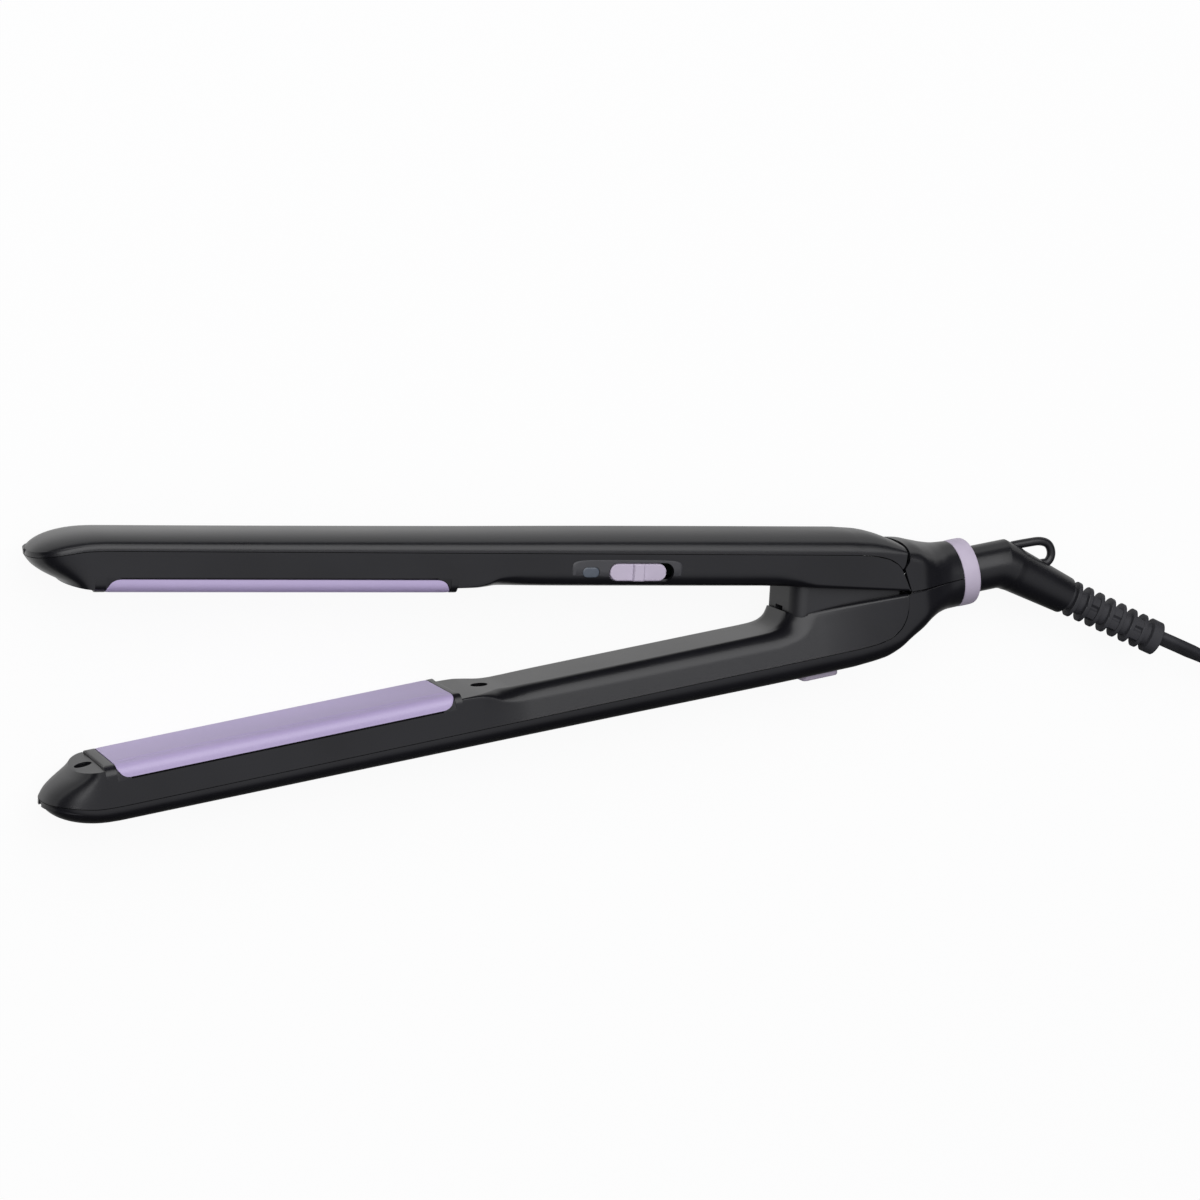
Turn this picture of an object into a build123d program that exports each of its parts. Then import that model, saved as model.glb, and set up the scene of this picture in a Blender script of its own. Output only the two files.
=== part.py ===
from build123d import *
from math import cos, radians, sin, sqrt, tan
import os

# Slim hair straightener with two floating plates, lying open on its flat side.
#
# Frame: +Z runs across the arms, from the side that it lies on to the other side. The hinge
# axis is the Z axis, +X points to the cord and the lower arm lies along -X. Every arm piece is
# drawn in its own arm's plane: x along the arm, u outward from the hinge plane towards the
# back of the arm, w across the arm. The hinge plane is u = 0, where the two arms meet.

# ------------------------------------------------------------------ driving dimensions (mm)
arm_width = 28.0
wall = 1.8
open_angle = 10.84          # how far the upper arm stands open at rest
fit_gap = 0.3               # between curved or moving neighbours
running_gap = 0.05          # radial, in every bore that turns on its shaft

# plates
plate_length = 100.0
plate_rear = 150.8          # from the hinge axis to the rear edge of a plate
plate_level = 0.575         # plate face above the hinge plane when the arms are parallel
plate_thickness = 1.6
skirt_height = 3.87
skirt_wall = 1.2
skirt_corner = 3.8
plate_edge_radius = 1.5
strip_length = 2.75         # black end strip in front of each plate
rear_strip_length = 1.7     # and behind it
strip_gap = 0.15
groove = 0.4                # open line between an end strip and the housing
float_travel = 0.45

# arm outline
nose_length = 19.9          # from the front edge of the plate to the tip
nose_level = 9.2            # height of the tip above the hinge plane
nose_corner = 7.5           # rounding of the nose seen square to the plates
parting = 12.3              # line between housing and cover
facet_level = 1.5           # flat at the nose, with the front screw
facet_length = 6.8
facet_drop = 0.7
land_level = 2.1            # flat behind the plate, with the rear screw
land_length = 12.7
handle_level = 3.3
handle_slope = 3.5
handle_edge = 3.6           # rounding of its long edges
handle_end = 54.0           # rear end of that rounding, ahead of the hinge axis
upper_nose_height = 17.6    # height of a cover's back above the hinge plane, at the nose,
upper_plate_height = 17.9   # behind the plate, along the handle and at the hinge
upper_handle_height = 18.4
upper_hinge_height = 18.9
lower_nose_height = 18.75
lower_plate_height = 18.85
lower_handle_height = 19.1
lower_hinge_height = 19.8
crown = 3.2                 # how much a cover's back is arched across its width
shoulder = 2.5              # rounding between a cover's back and its sides

# hinge
pin_radius = 2.0
knuckle_radius = 4.2
knuckle_width = 9.0
block_front = 40.6          # front of the hinge block, ahead of the hinge axis
block_rear = 5.9
block_width = 21.6
block_corner = 4.5
block_depth = 7.9           # how far its front reaches past the hinge plane
block_depth_rear = 1.4
block_top = 6.4
flange_seat = 4.4           # height of the block's flange inside the upper arm
flange_rear = 9.8           # its rear end, ahead of the hinge axis
upper_rim = 1.5             # inner face of the upper arm, at its rear end
rim_front = 42.8            # raised rim round the pocket in the lower arm
rim_rise = 1.9
rim_rise_rear = 1.2
rim_ramp = 11.2
pocket_gap = 0.6
panel_arc = 18.1            # length of the curved rear end of the side panels
neck_front = 2.9
spring_x = -17.5            # pocket in the hinge block, under the upper arm
spring_seat_x = -18.2       # post in the lower arm
spring_pocket_top = 3.8
spring_post_top = 13.0
spring_radius = 3.4
spring_wire = 0.9
spring_turns = 6

# neck, ring and swivel
neck_axis = 1.57            # the cord's axis above the hinge plane
neck_length = 17.0
ring_radius = 10.27
ring_length = 5.63
clamp_radius = 8.8          # boss of the two neck halves, inside the ring
clamp_length = 1.9
elbow_radius = 7.2
elbow_end_radius = 5.85
elbow_bend = 34.95          # where the elbow's two legs meet
elbow_leg = 25.15
elbow_angle = 34.0
stem_radius = 5.0
flange_radius = 6.8
flange_thickness = 2.2
contact_radius = 4.2
contact_places = (6.6, 9.0)
nose_start = 5.6            # front end of the swivel inside the neck
web_front = 13.0            # web at the rear of the neck that the swivel turns in
loop_width = 4.0
loop_radius = 5.3
loop_bar = 2.2
loop_reach = 13.6           # from the elbow's bend to the middle of the loop's round end
relief_angle = 31.7
relief_length = 37.6
relief_radius = 5.7
relief_end_radius = 5.4
relief_core = 4.2
relief_ribs = 7
relief_rib_width = 2.2
relief_bridge = 3.2
relief_pitch = 4.43
relief_first_groove = 2.5
collar_length = 4.7

# switch on the upper arm's side
switch_x = -96.5
switch_level = 6.9
bezel_length = 34.6
bezel_height = 7.4
bezel_corner = 2.6
slider_length = 17.8
slider_height = 5.2
slider_slot = 20.6
slider_slot_height = 5.8
slider_travel = 2.0
slider_slot_x = -92.1
slider_x = -93.0            # middle of the slider at rest
window_x = -108.0
window_length = 5.3
window_height = 3.1
bezel_seat = 0.8
board_x = -94.0
board_depth = 9.8           # from the side wall's face to the board
board_length = 60.0
board_height = 9.0
board_thickness = 1.6

# lock on the lower arm's back
lock_x = -31.5
lock_length = 12.0
lock_width = 9.0
lock_height = 1.5
lock_travel = 4.0
lock_stem_length = 4.0
lock_stem_width = 4.0
hook_level = -6.0           # height of the hook above the hinge plane, as the lower arm sees it
hook_thickness = 1.6
hook_reach = 2.6
hook_x = -47.4

# screws
screw_shank = 1.25
screw_head = 2.3
screw_head_height = 1.6
screw_recess = 3.2

# cord: flat twin flex, put away in a flat coil with two layers of turns
cord_width = 5.4
cord_thickness = 3.4
coil_centre = (154.8, -29.8)
coil_inner = 21.0
coil_outer = 37.0
tie_thickness = 0.7
tie_width = 9.0
tie_angle = 150.0
plug_length = 35.0
plug_width = 35.3
plug_thickness = 13.7
plug_rear_width = 15.0
plug_rear_thickness = 9.0
plug_pin_radius = 2.0
plug_pin_length = 19.0
plug_pin_spacing = 18.6

# ------------------------------------------------------------------------- derived places
plate_front = plate_rear + plate_length
nose_tip = plate_front + nose_length
skirt_level = plate_level + skirt_height
housing_edge = skirt_level + float_travel + 0.1
window_front = -(plate_front + strip_gap + strip_length + groove)
window_rear = -(plate_rear - strip_gap - rear_strip_length - groove)
facet_front = window_front - facet_length
land_end = window_rear + land_length
handle_start = land_end + handle_slope
front_screw_x = window_front - 3.2
rear_screw_x = land_end - 2.6
middle = arm_width / 2
height_places = (-nose_tip - 4, -plate_rear, -plate_rear * 2 / 3, 0.0)
upper_heights = tuple(
    zip(height_places, (upper_nose_height, upper_plate_height, upper_handle_height, upper_hinge_height))
)
lower_heights = tuple(
    zip(height_places, (lower_nose_height, lower_plate_height, lower_handle_height, lower_hinge_height))
)
os.makedirs("parts", exist_ok=True)

lower_arm = Plane(origin=(0, 0, arm_width), x_dir=(1, 0, 0), z_dir=(0, 0, -1))
upper_arm = Plane.XY.rotated((0, 0, -open_angle))


def across(arm, x):
    """Plane square to an arm at x, with u to its right and w up."""
    return Plane(origin=arm.from_local_coords((x, 0, 0)), x_dir=arm.y_dir, z_dir=arm.x_dir)


def facing(arm, x, u, w):
    """Plane that looks outward along u at a point of an arm, with x to its right."""
    return Plane(origin=arm.from_local_coords((x, u, w)), x_dir=arm.x_dir, z_dir=arm.y_dir)


def height_at(heights, x):
    """Height of a cover's back at x, between the stations that are given."""
    for (x0, h0), (x1, h1) in zip(heights, heights[1:]):
        if x <= x1:
            return h0 + (h1 - h0) * (x - x0) / (x1 - x0)
    return heights[-1][1]


def crown_form(arm, heights, inset):
    """Arched back of a cover, as a solid from the hinge plane up, drawn in by inset."""
    with BuildPart() as form:
        for x, height in heights:
            with BuildSketch(across(arm, x)):
                with BuildLine():
                    Polyline(
                        (height - crown - inset, inset),
                        (-4, inset),
                        (-4, arm_width - inset),
                        (height - crown - inset, arm_width - inset),
                    )
                    ThreePointArc(
                        (height - crown - inset, arm_width - inset),
                        (height - inset, middle),
                        (height - crown - inset, inset),
                    )
                make_face()
                fillet(vertices().sort_by(Axis.X)[-2:], shoulder)
        loft(ruled=True)
    return form.part


def nose_form(arm, inset):
    """Outline of an arm seen square to the plates, with its rounded nose, drawn in by inset."""
    length = nose_tip - inset + 40
    with BuildPart() as form:
        with BuildSketch(facing(arm, -nose_tip + inset + length / 2, 0, middle)):
            RectangleRounded(length, arm_width - 2 * inset, nose_corner - inset)
        extrude(amount=40, both=True)
    return form.part


def parting_line():
    """Line between housing and cover, from the nose tip to the curved end of the panel."""
    run = 18.7
    start = (-nose_tip, nose_level)
    knee = (-nose_tip + run, parting)
    panel_start = (-3.9 - panel_arc, parting)
    slope = Line(start, (-nose_tip + run * 0.75, nose_level + (parting - nose_level) * 0.9))
    TangentArc(slope @ 1, (knee[0] + 6, parting), tangent=slope % 1)
    Line((knee[0] + 6, parting), panel_start)


def panel_end(rim):
    """Curved rear end of a side panel, from the parting line down to the rim."""
    ThreePointArc((-3.9 - panel_arc, parting), (-7.9, 9.0), (-3.9, rim))


def cover_body(arm, heights, rear_outline):
    """Hollow cover of an arm, open towards the housing. rear_outline closes its rear end."""
    level = height_at(heights, -nose_tip)
    nose_run = 20.2
    with BuildPart() as body:
        with BuildSketch(arm):
            with BuildLine():
                parting_line()
                last = rear_outline()
                Polyline((last, 26), (-nose_tip + nose_run, 26), (-nose_tip + nose_run, level))
                EllipticalCenterArc(
                    (-nose_tip + nose_run, nose_level),
                    nose_run,
                    level - nose_level,
                    start_angle=90,
                    arc_size=90,
                )
            make_face()
        extrude(amount=arm_width)
        add(crown_form(arm, heights, 0), mode=Mode.INTERSECT)
        add(nose_form(arm, 0), mode=Mode.INTERSECT)
    with BuildPart() as profile:
        with BuildSketch(arm.offset(wall)):
            with BuildLine():
                Polyline(
                    (-nose_tip + 5.5, 0),
                    (-nose_tip + 5.5, nose_level + 3),
                    (-nose_tip + nose_run, 26),
                    (-13, 26),
                    (-9.5, 11.0),
                    (-9.5, 0),
                    (-nose_tip + 5.5, 0),
                )
            make_face()
        extrude(amount=arm_width - 2 * wall)
    nose_inside = nose_form(arm, wall)
    crown_inside = crown_form(arm, heights, wall)
    # each arm's hollow is cut from its three forms in the order that suits its back's slopes
    forms = (profile.part, nose_inside, crown_inside)
    if arm is lower_arm:
        forms = (crown_inside, profile.part, nose_inside)
    with BuildPart() as hollow:
        add(forms[0])
        add(forms[1], mode=Mode.INTERSECT)
        add(forms[2], mode=Mode.INTERSECT)
    with BuildPart() as cover:
        add(body.part)
        add(hollow.part, mode=Mode.SUBTRACT)
        for x in (front_screw_x, rear_screw_x):
            top = height_at(heights, x) - wall / 2
            with BuildSketch(facing(arm, x, parting, middle)):
                Circle(screw_shank + 1.9)
            extrude(amount=top - parting)
            with BuildSketch(facing(arm, x, parting, middle)):
                Circle(screw_shank + running_gap)
            extrude(amount=top - parting - wall, mode=Mode.SUBTRACT)
    return cover.part


def housing_body(arm, inner_line, floor_line, rim):
    """Housing of an arm: side panels and the inner face, with the plate's window.

    inner_line draws its face from the handle to the rear end, floor_line the space behind it.
    """
    with BuildPart() as body:
        with BuildSketch(arm):
            with BuildLine():
                parting_line()
                panel_end(rim)
                inner_line()
                Polyline(
                    (handle_start, handle_level),
                    (land_end, land_level),
                    (window_rear, land_level),
                    (window_rear, housing_edge),
                    (window_front, housing_edge),
                    (window_front, facet_level),
                    (facet_front, facet_level + facet_drop),
                    (facet_front - 1.6, facet_level + facet_drop + 1.1),
                )
                ThreePointArc(
                    (facet_front - 1.6, facet_level + facet_drop + 1.1),
                    (-nose_tip + 3.3, nose_level - 3.4),
                    (-nose_tip, nose_level),
                )
            make_face()
        extrude(amount=arm_width)
        add(nose_form(arm, 0), mode=Mode.INTERSECT)
    with BuildPart() as hollow:
        with BuildSketch(arm.offset(wall)):
            with BuildLine():
                Polyline(
                    (-nose_tip + 5.5, parting + 3),
                    (-nose_tip + 5.5, nose_level - 1.5),
                    (facet_front, facet_level + facet_drop + wall),
                    (window_front - wall, facet_level + wall),
                    (window_front - wall, parting + 3),
                    (-nose_tip + 5.5, parting + 3),
                )
            make_face()
            with BuildLine():
                Polyline(
                    (window_front, parting + 3),
                    (window_front, 0),
                    (window_rear, 0),
                    (window_rear, parting + 3),
                    (window_front, parting + 3),
                )
            make_face()
            with BuildLine():
                Polyline(
                    (-9.5, 8.0),
                    (-13.0, parting + 3),
                    (window_rear + wall, parting + 3),
                    (window_rear + wall, land_level + wall),
                    (land_end, land_level + wall),
                    (handle_start, handle_level + wall),
                )
                floor_line()
            make_face()
        extrude(amount=arm_width - 2 * wall)
        add(nose_form(arm, wall), mode=Mode.INTERSECT)
    with BuildPart() as housing:
        add(body.part)
        add(hollow.part, mode=Mode.SUBTRACT)
        for x, level in ((front_screw_x, facet_level), (rear_screw_x, land_level)):
            with BuildSketch(facing(arm, x, level + screw_recess, middle)):
                Circle(screw_head + wall)
            extrude(amount=parting - level - screw_recess)
            with BuildSketch(facing(arm, x, level + 0.4, middle)):
                Circle(screw_head + wall)
            extrude(amount=screw_recess)
            with BuildSketch(facing(arm, x, -2, middle)):
                Circle(screw_head + 0.25)
            extrude(amount=level + screw_recess + 2, mode=Mode.SUBTRACT)
            with BuildSketch(facing(arm, x, -2, middle)):
                Circle(screw_shank + 0.15)
            extrude(amount=parting + 4, mode=Mode.SUBTRACT)
        # long edges of the handle's inner face are rounded
        for low in (0, 1):
            edge = arm_width * low
            side = 1 - 2 * low
            with BuildSketch(across(arm, handle_start)):
                with BuildLine():
                    Polyline(
                        (handle_level + handle_edge, edge),
                        (handle_level, edge),
                        (handle_level, edge + side * handle_edge),
                    )
                    ThreePointArc(
                        (handle_level, edge + side * handle_edge),
                        (
                            handle_level + handle_edge * (1 - cos(radians(45))),
                            edge + side * handle_edge * (1 - cos(radians(45))),
                        ),
                        (handle_level + handle_edge, edge),
                    )
                make_face()
            extrude(amount=-handle_start - handle_end, mode=Mode.SUBTRACT)
        # the plate's window stays clear of the boss beside it
        with BuildSketch(arm.offset(wall)):
            with Locations(((window_front + window_rear) / 2, 6)):
                Rectangle(window_rear - window_front, 20)
        extrude(amount=arm_width - 2 * wall, mode=Mode.SUBTRACT)
        for x in cushion_places:
            with BuildSketch(facing(arm, x, parting - bridge_thickness, middle)):
                Rectangle(bridge_length, arm_width - 2 * wall + 0.2)
            extrude(amount=bridge_thickness)
        # notches for the heater's leads in the wall behind the plate
        for w in wire_places:
            with BuildSketch(arm.offset(w - wire_notch / 2)):
                with Locations((window_rear + wall / 2, 10)):
                    Rectangle(wall + 1, 7)
            extrude(amount=wire_notch, mode=Mode.SUBTRACT)
    return housing.part


def screw_set(arm, heights):
    """Front and rear screw of an arm, put in from the inner face."""
    with BuildPart() as screws:
        for x, level in ((front_screw_x, facet_level), (rear_screw_x, land_level)):
            seat = level + screw_recess
            tip = height_at(heights, x) - wall * 1.5 - 0.7
            with BuildSketch(facing(arm, x, seat - screw_head_height, middle)):
                Circle(screw_head)
            extrude(amount=screw_head_height)
            with BuildSketch(facing(arm, x, seat, middle)):
                Circle(screw_shank)
            extrude(amount=tip - seat)
            with BuildSketch(facing(arm, x, seat - screw_head_height, middle)):
                Rectangle(2.8, 0.6)
                Rectangle(0.6, 2.8)
            extrude(amount=0.8, mode=Mode.SUBTRACT)
    return screws.part


# ------------------------------------------------------------------- floating plate groups
cushion_places = (-(plate_rear + 18), -(plate_front - 18))
heater_bottom = plate_level + plate_thickness + running_gap
heater_thickness = 1.7
heater_width = 14.0
tray_bottom = heater_bottom + heater_thickness + running_gap
tray_thickness = 2.2
cushion_radius = 4.0
bridge_thickness = 2.2      # bridges of the housing that carry the cushions
bridge_length = 12.0
wire_places = (5.0, arm_width - 5.0)
wire_radius = 0.9
wire_notch = 3.0


def plate_body(arm):
    """Aluminium plate with turned-down skirts, lacquered lilac on the outside."""
    with BuildPart() as plate:
        with BuildSketch(across(arm, -plate_front)):
            with Locations(((plate_level + skirt_level) / 2, middle)):
                Rectangle(skirt_height, arm_width)
            fillet(vertices().group_by(Axis.X)[0], plate_edge_radius)
            with Locations(((plate_level + plate_thickness + skirt_level + 1) / 2, middle)):
                Rectangle(
                    skirt_level + 1 - plate_level - plate_thickness,
                    arm_width - 2 * skirt_wall,
                    mode=Mode.SUBTRACT,
                )
        extrude(amount=plate_length)
        with BuildSketch(arm) as corners:
            for x, side in ((-plate_front, 1), (-plate_rear, -1)):
                with BuildLine():
                    far = (x, skirt_level)
                    low = (x, skirt_level - skirt_corner)
                    along = (x + side * skirt_corner, skirt_level)
                    ThreePointArc(
                        low,
                        (x + side * skirt_corner * 0.293, skirt_level - skirt_corner * 0.293),
                        along,
                    )
                    Polyline(along, far, low)
                make_face()
        extrude(amount=arm_width, mode=Mode.SUBTRACT)
    return plate.part


def carrier_body(arm):
    """Black tray behind the heater, with the end strips that frame the plate."""
    inside = wall + 0.4
    front = -plate_front - strip_gap - strip_length
    rear = -plate_rear + strip_gap + rear_strip_length
    arc = skirt_corner + strip_gap
    with BuildPart() as carrier:
        with BuildSketch(arm.offset(inside)):
            with Locations(((front + rear) / 2, tray_bottom + tray_thickness / 2)):
                Rectangle(rear - front, tray_thickness)
        extrude(amount=arm_width - 2 * inside)
        for x, end, side in ((-plate_front, front, 1), (-plate_rear, rear, -1)):
            edge = x - side * strip_gap
            centre = (x + side * skirt_corner, skirt_level - skirt_corner)
            reach = sqrt(arc**2 - skirt_corner**2)
            with BuildSketch(arm.offset(fit_gap)):
                with BuildLine():
                    Polyline(
                        (edge, centre[1]),
                        (edge, plate_level),
                        (end, plate_level),
                        (end, skirt_level),
                        (centre[0] - side * reach, skirt_level),
                    )
                    ThreePointArc(
                        (centre[0] - side * reach, skirt_level),
                        (centre[0] - side * arc * cos(radians(45)), centre[1] + arc * sin(radians(45))),
                        (edge, centre[1]),
                    )
                make_face()
            extrude(amount=arm_width - 2 * fit_gap)
    return carrier.part


def heater_body(arm):
    """Flat ceramic heater, clamped between the plate and its carrier."""
    with BuildPart() as heater:
        with BuildSketch(facing(arm, -(plate_rear + plate_length / 2), heater_bottom, middle)):
            Rectangle(plate_length - 22, heater_width)
        extrude(amount=heater_thickness)
    return heater.part


def sensor_body(arm):
    """Small temperature sensor on the plate, beside the heater's rear end."""
    with BuildPart() as sensor:
        with BuildSketch(facing(arm, -(plate_rear + 6.5), heater_bottom, middle)):
            RectangleRounded(5, 4, 0.8)
        extrude(amount=heater_thickness - 0.2)
    return sensor.part


def cushion_pair(arm):
    """Silicone cushions on the housing's bridges that the floating plate group pushes on."""
    top = parting - bridge_thickness
    bottom = tray_bottom + tray_thickness + float_travel + running_gap
    with BuildPart() as cushions:
        for x in cushion_places:
            with BuildSketch(facing(arm, x, bottom, middle)):
                Circle(cushion_radius)
            extrude(amount=top - bottom)
    return cushions.part


def wire_pair(arm, rear, level):
    """Two heater leads along the inside of an arm, from the plate group to its rear."""
    with BuildPart() as wires:
        start = tray_bottom + tray_thickness + float_travel + wire_radius + 0.1
        for w in wire_places:
            with BuildLine() as route:
                points = [
                    arm.from_local_coords((-plate_rear - 1.5, start, w)),
                    arm.from_local_coords((-plate_rear + 9, start + 0.4, w)),
                    arm.from_local_coords((-plate_rear + 24, level, w)),
                    arm.from_local_coords((rear, level, w)),
                ]
                FilletPolyline(*points, radius=6)
            with BuildSketch(Plane(origin=route.wire() @ 0, z_dir=route.wire() % 0)):
                Circle(wire_radius)
            sweep(path=route.wire())
    return wires.part


# ------------------------------------------------------------------------------ neck forms
# x, lowest and highest y, share of the arm's extra width over the ring, rounding as a share of
# the largest that fits
neck_stations = (
    (-neck_front, -15.2, 16.2, 1.0, 0.36),
    (1.5, -13.0, 15.6, 1.0, 0.47),
    (5.0, -10.6, 14.4, 0.75, 0.64),
    (9.0, -8.9, 13.0, 0.35, 0.85),
    (13.0, neck_axis - ring_radius, 12.1, 0.09, 0.95),
    (neck_length, neck_axis - ring_radius, neck_axis + ring_radius, 0.0, 0.995),
)


def neck_form(inset, first, last):
    """Outer form of the neck between two stations, drawn in by inset."""
    with BuildPart() as form:
        for x, low, high, extra, rounding in neck_stations[first:last]:
            place = Plane(origin=(x, (low + high) / 2, middle), x_dir=(0, 1, 0), z_dir=(1, 0, 0))
            width = 2 * ring_radius + (arm_width - 2 * ring_radius) * extra
            corner = min(rounding, 0.995) * min(width, high - low) / 2
            with BuildSketch(place):
                RectangleRounded(high - low - 2 * inset, width - 2 * inset, corner - inset)
        loft(ruled=True)
    return form.part


def along_neck(x):
    """Plane square to the neck's axis at x."""
    return Plane(origin=(x, neck_axis, middle), x_dir=(0, 1, 0), z_dir=(1, 0, 0))


tongue_w = (arm_width - knuckle_width) / 2
ear_gap = 0.3


def neck_shell(keep_upper):
    """One half of the neck: a shell with a web at its rear that the swivel turns in."""
    with BuildPart() as shell:
        add(neck_form(0, 0, len(neck_stations)))
        add(neck_form(wall, 1, len(neck_stations) - 1), mode=Mode.SUBTRACT)
        with BuildSketch(along_neck(-neck_front - 1)):
            Rectangle(13.4, knuckle_width + 2 * ear_gap)
        extrude(amount=neck_front + 4, mode=Mode.SUBTRACT)
        with BuildSketch(along_neck(neck_length)):
            Circle(clamp_radius)
        extrude(amount=clamp_length)
        with BuildSketch(along_neck(web_front - 0.5)):
            Circle(stem_radius + running_gap)
        extrude(amount=neck_length, mode=Mode.SUBTRACT)
        cut = Plane(origin=(0, neck_axis, 0), x_dir=(1, 0, 0), z_dir=(0, 1, 0))
        split(bisect_by=cut, keep=Keep.TOP if keep_upper else Keep.BOTTOM)
    return shell.part


# =============================================================================== lower arm
def lower_rear_outline():
    """Rear end of the lower cover, from the parting line round to its back."""
    panel_end(-rim_rise_rear)
    Polyline((-3.9, -rim_rise_rear), (-neck_front, -rim_rise_rear), (-neck_front, 15.2))
    ThreePointArc((-neck_front, 15.2), (-6.8, 17.5), (-12, 19.4))
    Line((-12, 19.4), (-12, 26))
    return -12


def lower_inner_line():
    """Inner face of the lower arm: handle, ramp and the rim round the hinge pocket."""
    ramp_start = -rim_front - rim_ramp
    Line((-3.9, -rim_rise_rear), (-rim_front, -rim_rise))
    Spline(
        (-rim_front, -rim_rise),
        (-rim_front - 1.2, -0.2),
        (-rim_front - 3.0, 0.9),
        (-rim_front - 6.4, 2.1),
        (ramp_start, handle_level),
    )
    Line((ramp_start, handle_level), (handle_start, handle_level))


def lower_floor_line():
    """Back of the lower arm's inner face."""
    Polyline(
        (handle_start, handle_level + wall),
        (-rim_front - rim_ramp, handle_level + wall),
        (-rim_front - 4.5, 3.3),
        (-rim_front + wall, -rim_rise + wall),
        (-9.5, -rim_rise_rear + wall + 0.4),
        (-9.5, 8.0),
    )


wire_level = 11.0           # height of the lower arm's leads on their way into the neck
wire_slot = 13.0            # start of the slot that they pass, ahead of the hinge axis
lower_shell = cover_body(lower_arm, lower_heights, lower_rear_outline)
lower_neck = neck_shell(False)
tongue_space = knuckle_width + 2 * ear_gap
ear_top = tongue_w - ear_gap
with BuildPart() as lower_cover:
    add(lower_shell)
    add(lower_neck)
    # ears that carry the hinge pin, one on each side of the tongue
    for low in (wall - 0.5, arm_width - ear_top):
        with BuildSketch(Plane.XY.offset(low)):
            with Locations((0.75, -2.7)):
                Rectangle(7.3, 14.0)
        extrude(amount=ear_top - wall + 0.5)
    with BuildSketch(Plane.XY.offset(wall + 0.3)):
        Circle(pin_radius + running_gap / 2)
    extrude(amount=arm_width - 2 * wall - 0.6, mode=Mode.SUBTRACT)
    # way for the tongue, for the lock slider's stem and for the wires into the neck
    with BuildSketch(Plane.XY.offset(middle - tongue_space / 2)):
        with Locations((-4.5, 1.5)):
            Rectangle(9.2, 13.2)
    extrude(amount=tongue_space, mode=Mode.SUBTRACT)
    with BuildSketch(facing(lower_arm, lock_x + lock_travel / 2, 14, middle)):
        Rectangle(lock_stem_length + lock_travel + 2 * fit_gap, lock_stem_width + 2 * fit_gap)
    extrude(amount=8, mode=Mode.SUBTRACT)
    with BuildSketch(Plane.YZ.offset(-wire_slot)):
        with Locations((-wire_level, middle)):
            Rectangle(2 * wire_radius + 0.8, arm_width - 2 * wall - 1.5)
    extrude(amount=wire_slot + 2, mode=Mode.SUBTRACT)
    # post that carries the opening spring
    with BuildSketch(facing(lower_arm, spring_seat_x, spring_post_top, middle)):
        Circle(spring_radius + 0.8)
    extrude(amount=height_at(lower_heights, spring_seat_x) - spring_post_top - wall / 2)
lower_cover.part.label = "lower_cover"

pocket_front = block_front + 1.0
lower_panel = housing_body(lower_arm, lower_inner_line, lower_floor_line, -rim_rise_rear)
with BuildPart() as lower_housing:
    add(lower_panel)
    with BuildSketch(facing(lower_arm, -pocket_front / 2 + 2, -4, middle)):
        Rectangle(pocket_front + 4, block_width + 2 * pocket_gap)
        fillet(vertices().group_by(Axis.X)[0], block_corner + pocket_gap)
    extrude(amount=8, mode=Mode.SUBTRACT)
    with BuildSketch(Plane.YZ.offset(-wire_slot)):
        with Locations((-wire_level, middle)):
            Rectangle(2 * wire_radius + 0.8, arm_width - 2 * wall - 1.5)
    extrude(amount=wire_slot + 2, mode=Mode.SUBTRACT)
lower_housing.part.label = "lower_housing"

lower_screw_pair = screw_set(lower_arm, lower_heights)
with BuildPart() as lower_screws:
    add(lower_screw_pair)
lower_screws.part.label = "lower_screws"

lower_cushion_pair = cushion_pair(lower_arm)
with BuildPart() as lower_cushions:
    add(lower_cushion_pair)
lower_cushions.part.label = "lower_cushions"

lower_wire_pair = wire_pair(lower_arm, 1.9, wire_level)
with BuildPart() as lower_wires:
    add(lower_wire_pair)
lower_wires.part.label = "lower_wires"

upper_neck = neck_shell(True)
with BuildPart() as neck_cap:
    add(upper_neck)
    # clears the ears
    with BuildSketch(Plane.XY.offset(wall - 0.5)):
        with Locations((0.75, 2.0)):
            Rectangle(7.9, 5.2)
    extrude(amount=arm_width - 2 * wall + 1, mode=Mode.SUBTRACT)
    # rib that holds the brushes
    with BuildSketch(Plane.XY.offset(middle - 2)):
        with Locations((7.8, neck_axis + 8.6)):
            Rectangle(5.0, 3.6)
    extrude(amount=4)
neck_cap.part.label = "neck_cap"

with BuildPart() as neck_ring:
    with BuildSketch(along_neck(neck_length)):
        Circle(ring_radius)
        Circle(elbow_radius + 0.1, mode=Mode.SUBTRACT)
    extrude(amount=ring_length)
    rim_edge = neck_ring.edges().filter_by(GeomType.CIRCLE).group_by(Axis.X)[-1]
    fillet(rim_edge.sort_by(SortBy.RADIUS)[-1:], 0.5)
    with BuildSketch(along_neck(neck_length)):
        Circle(clamp_radius + running_gap)
    extrude(amount=clamp_length + 0.1, mode=Mode.SUBTRACT)
neck_ring.part.label = "neck_ring"

with BuildPart() as hinge_pin:
    with BuildSketch(Plane.XY.offset(wall + 0.5)):
        Circle(pin_radius)
    extrude(amount=arm_width - 2 * wall - 1.0)
    chamfer(hinge_pin.edges().filter_by(GeomType.CIRCLE), 0.3)
hinge_pin.part.label = "hinge_pin"

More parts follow.
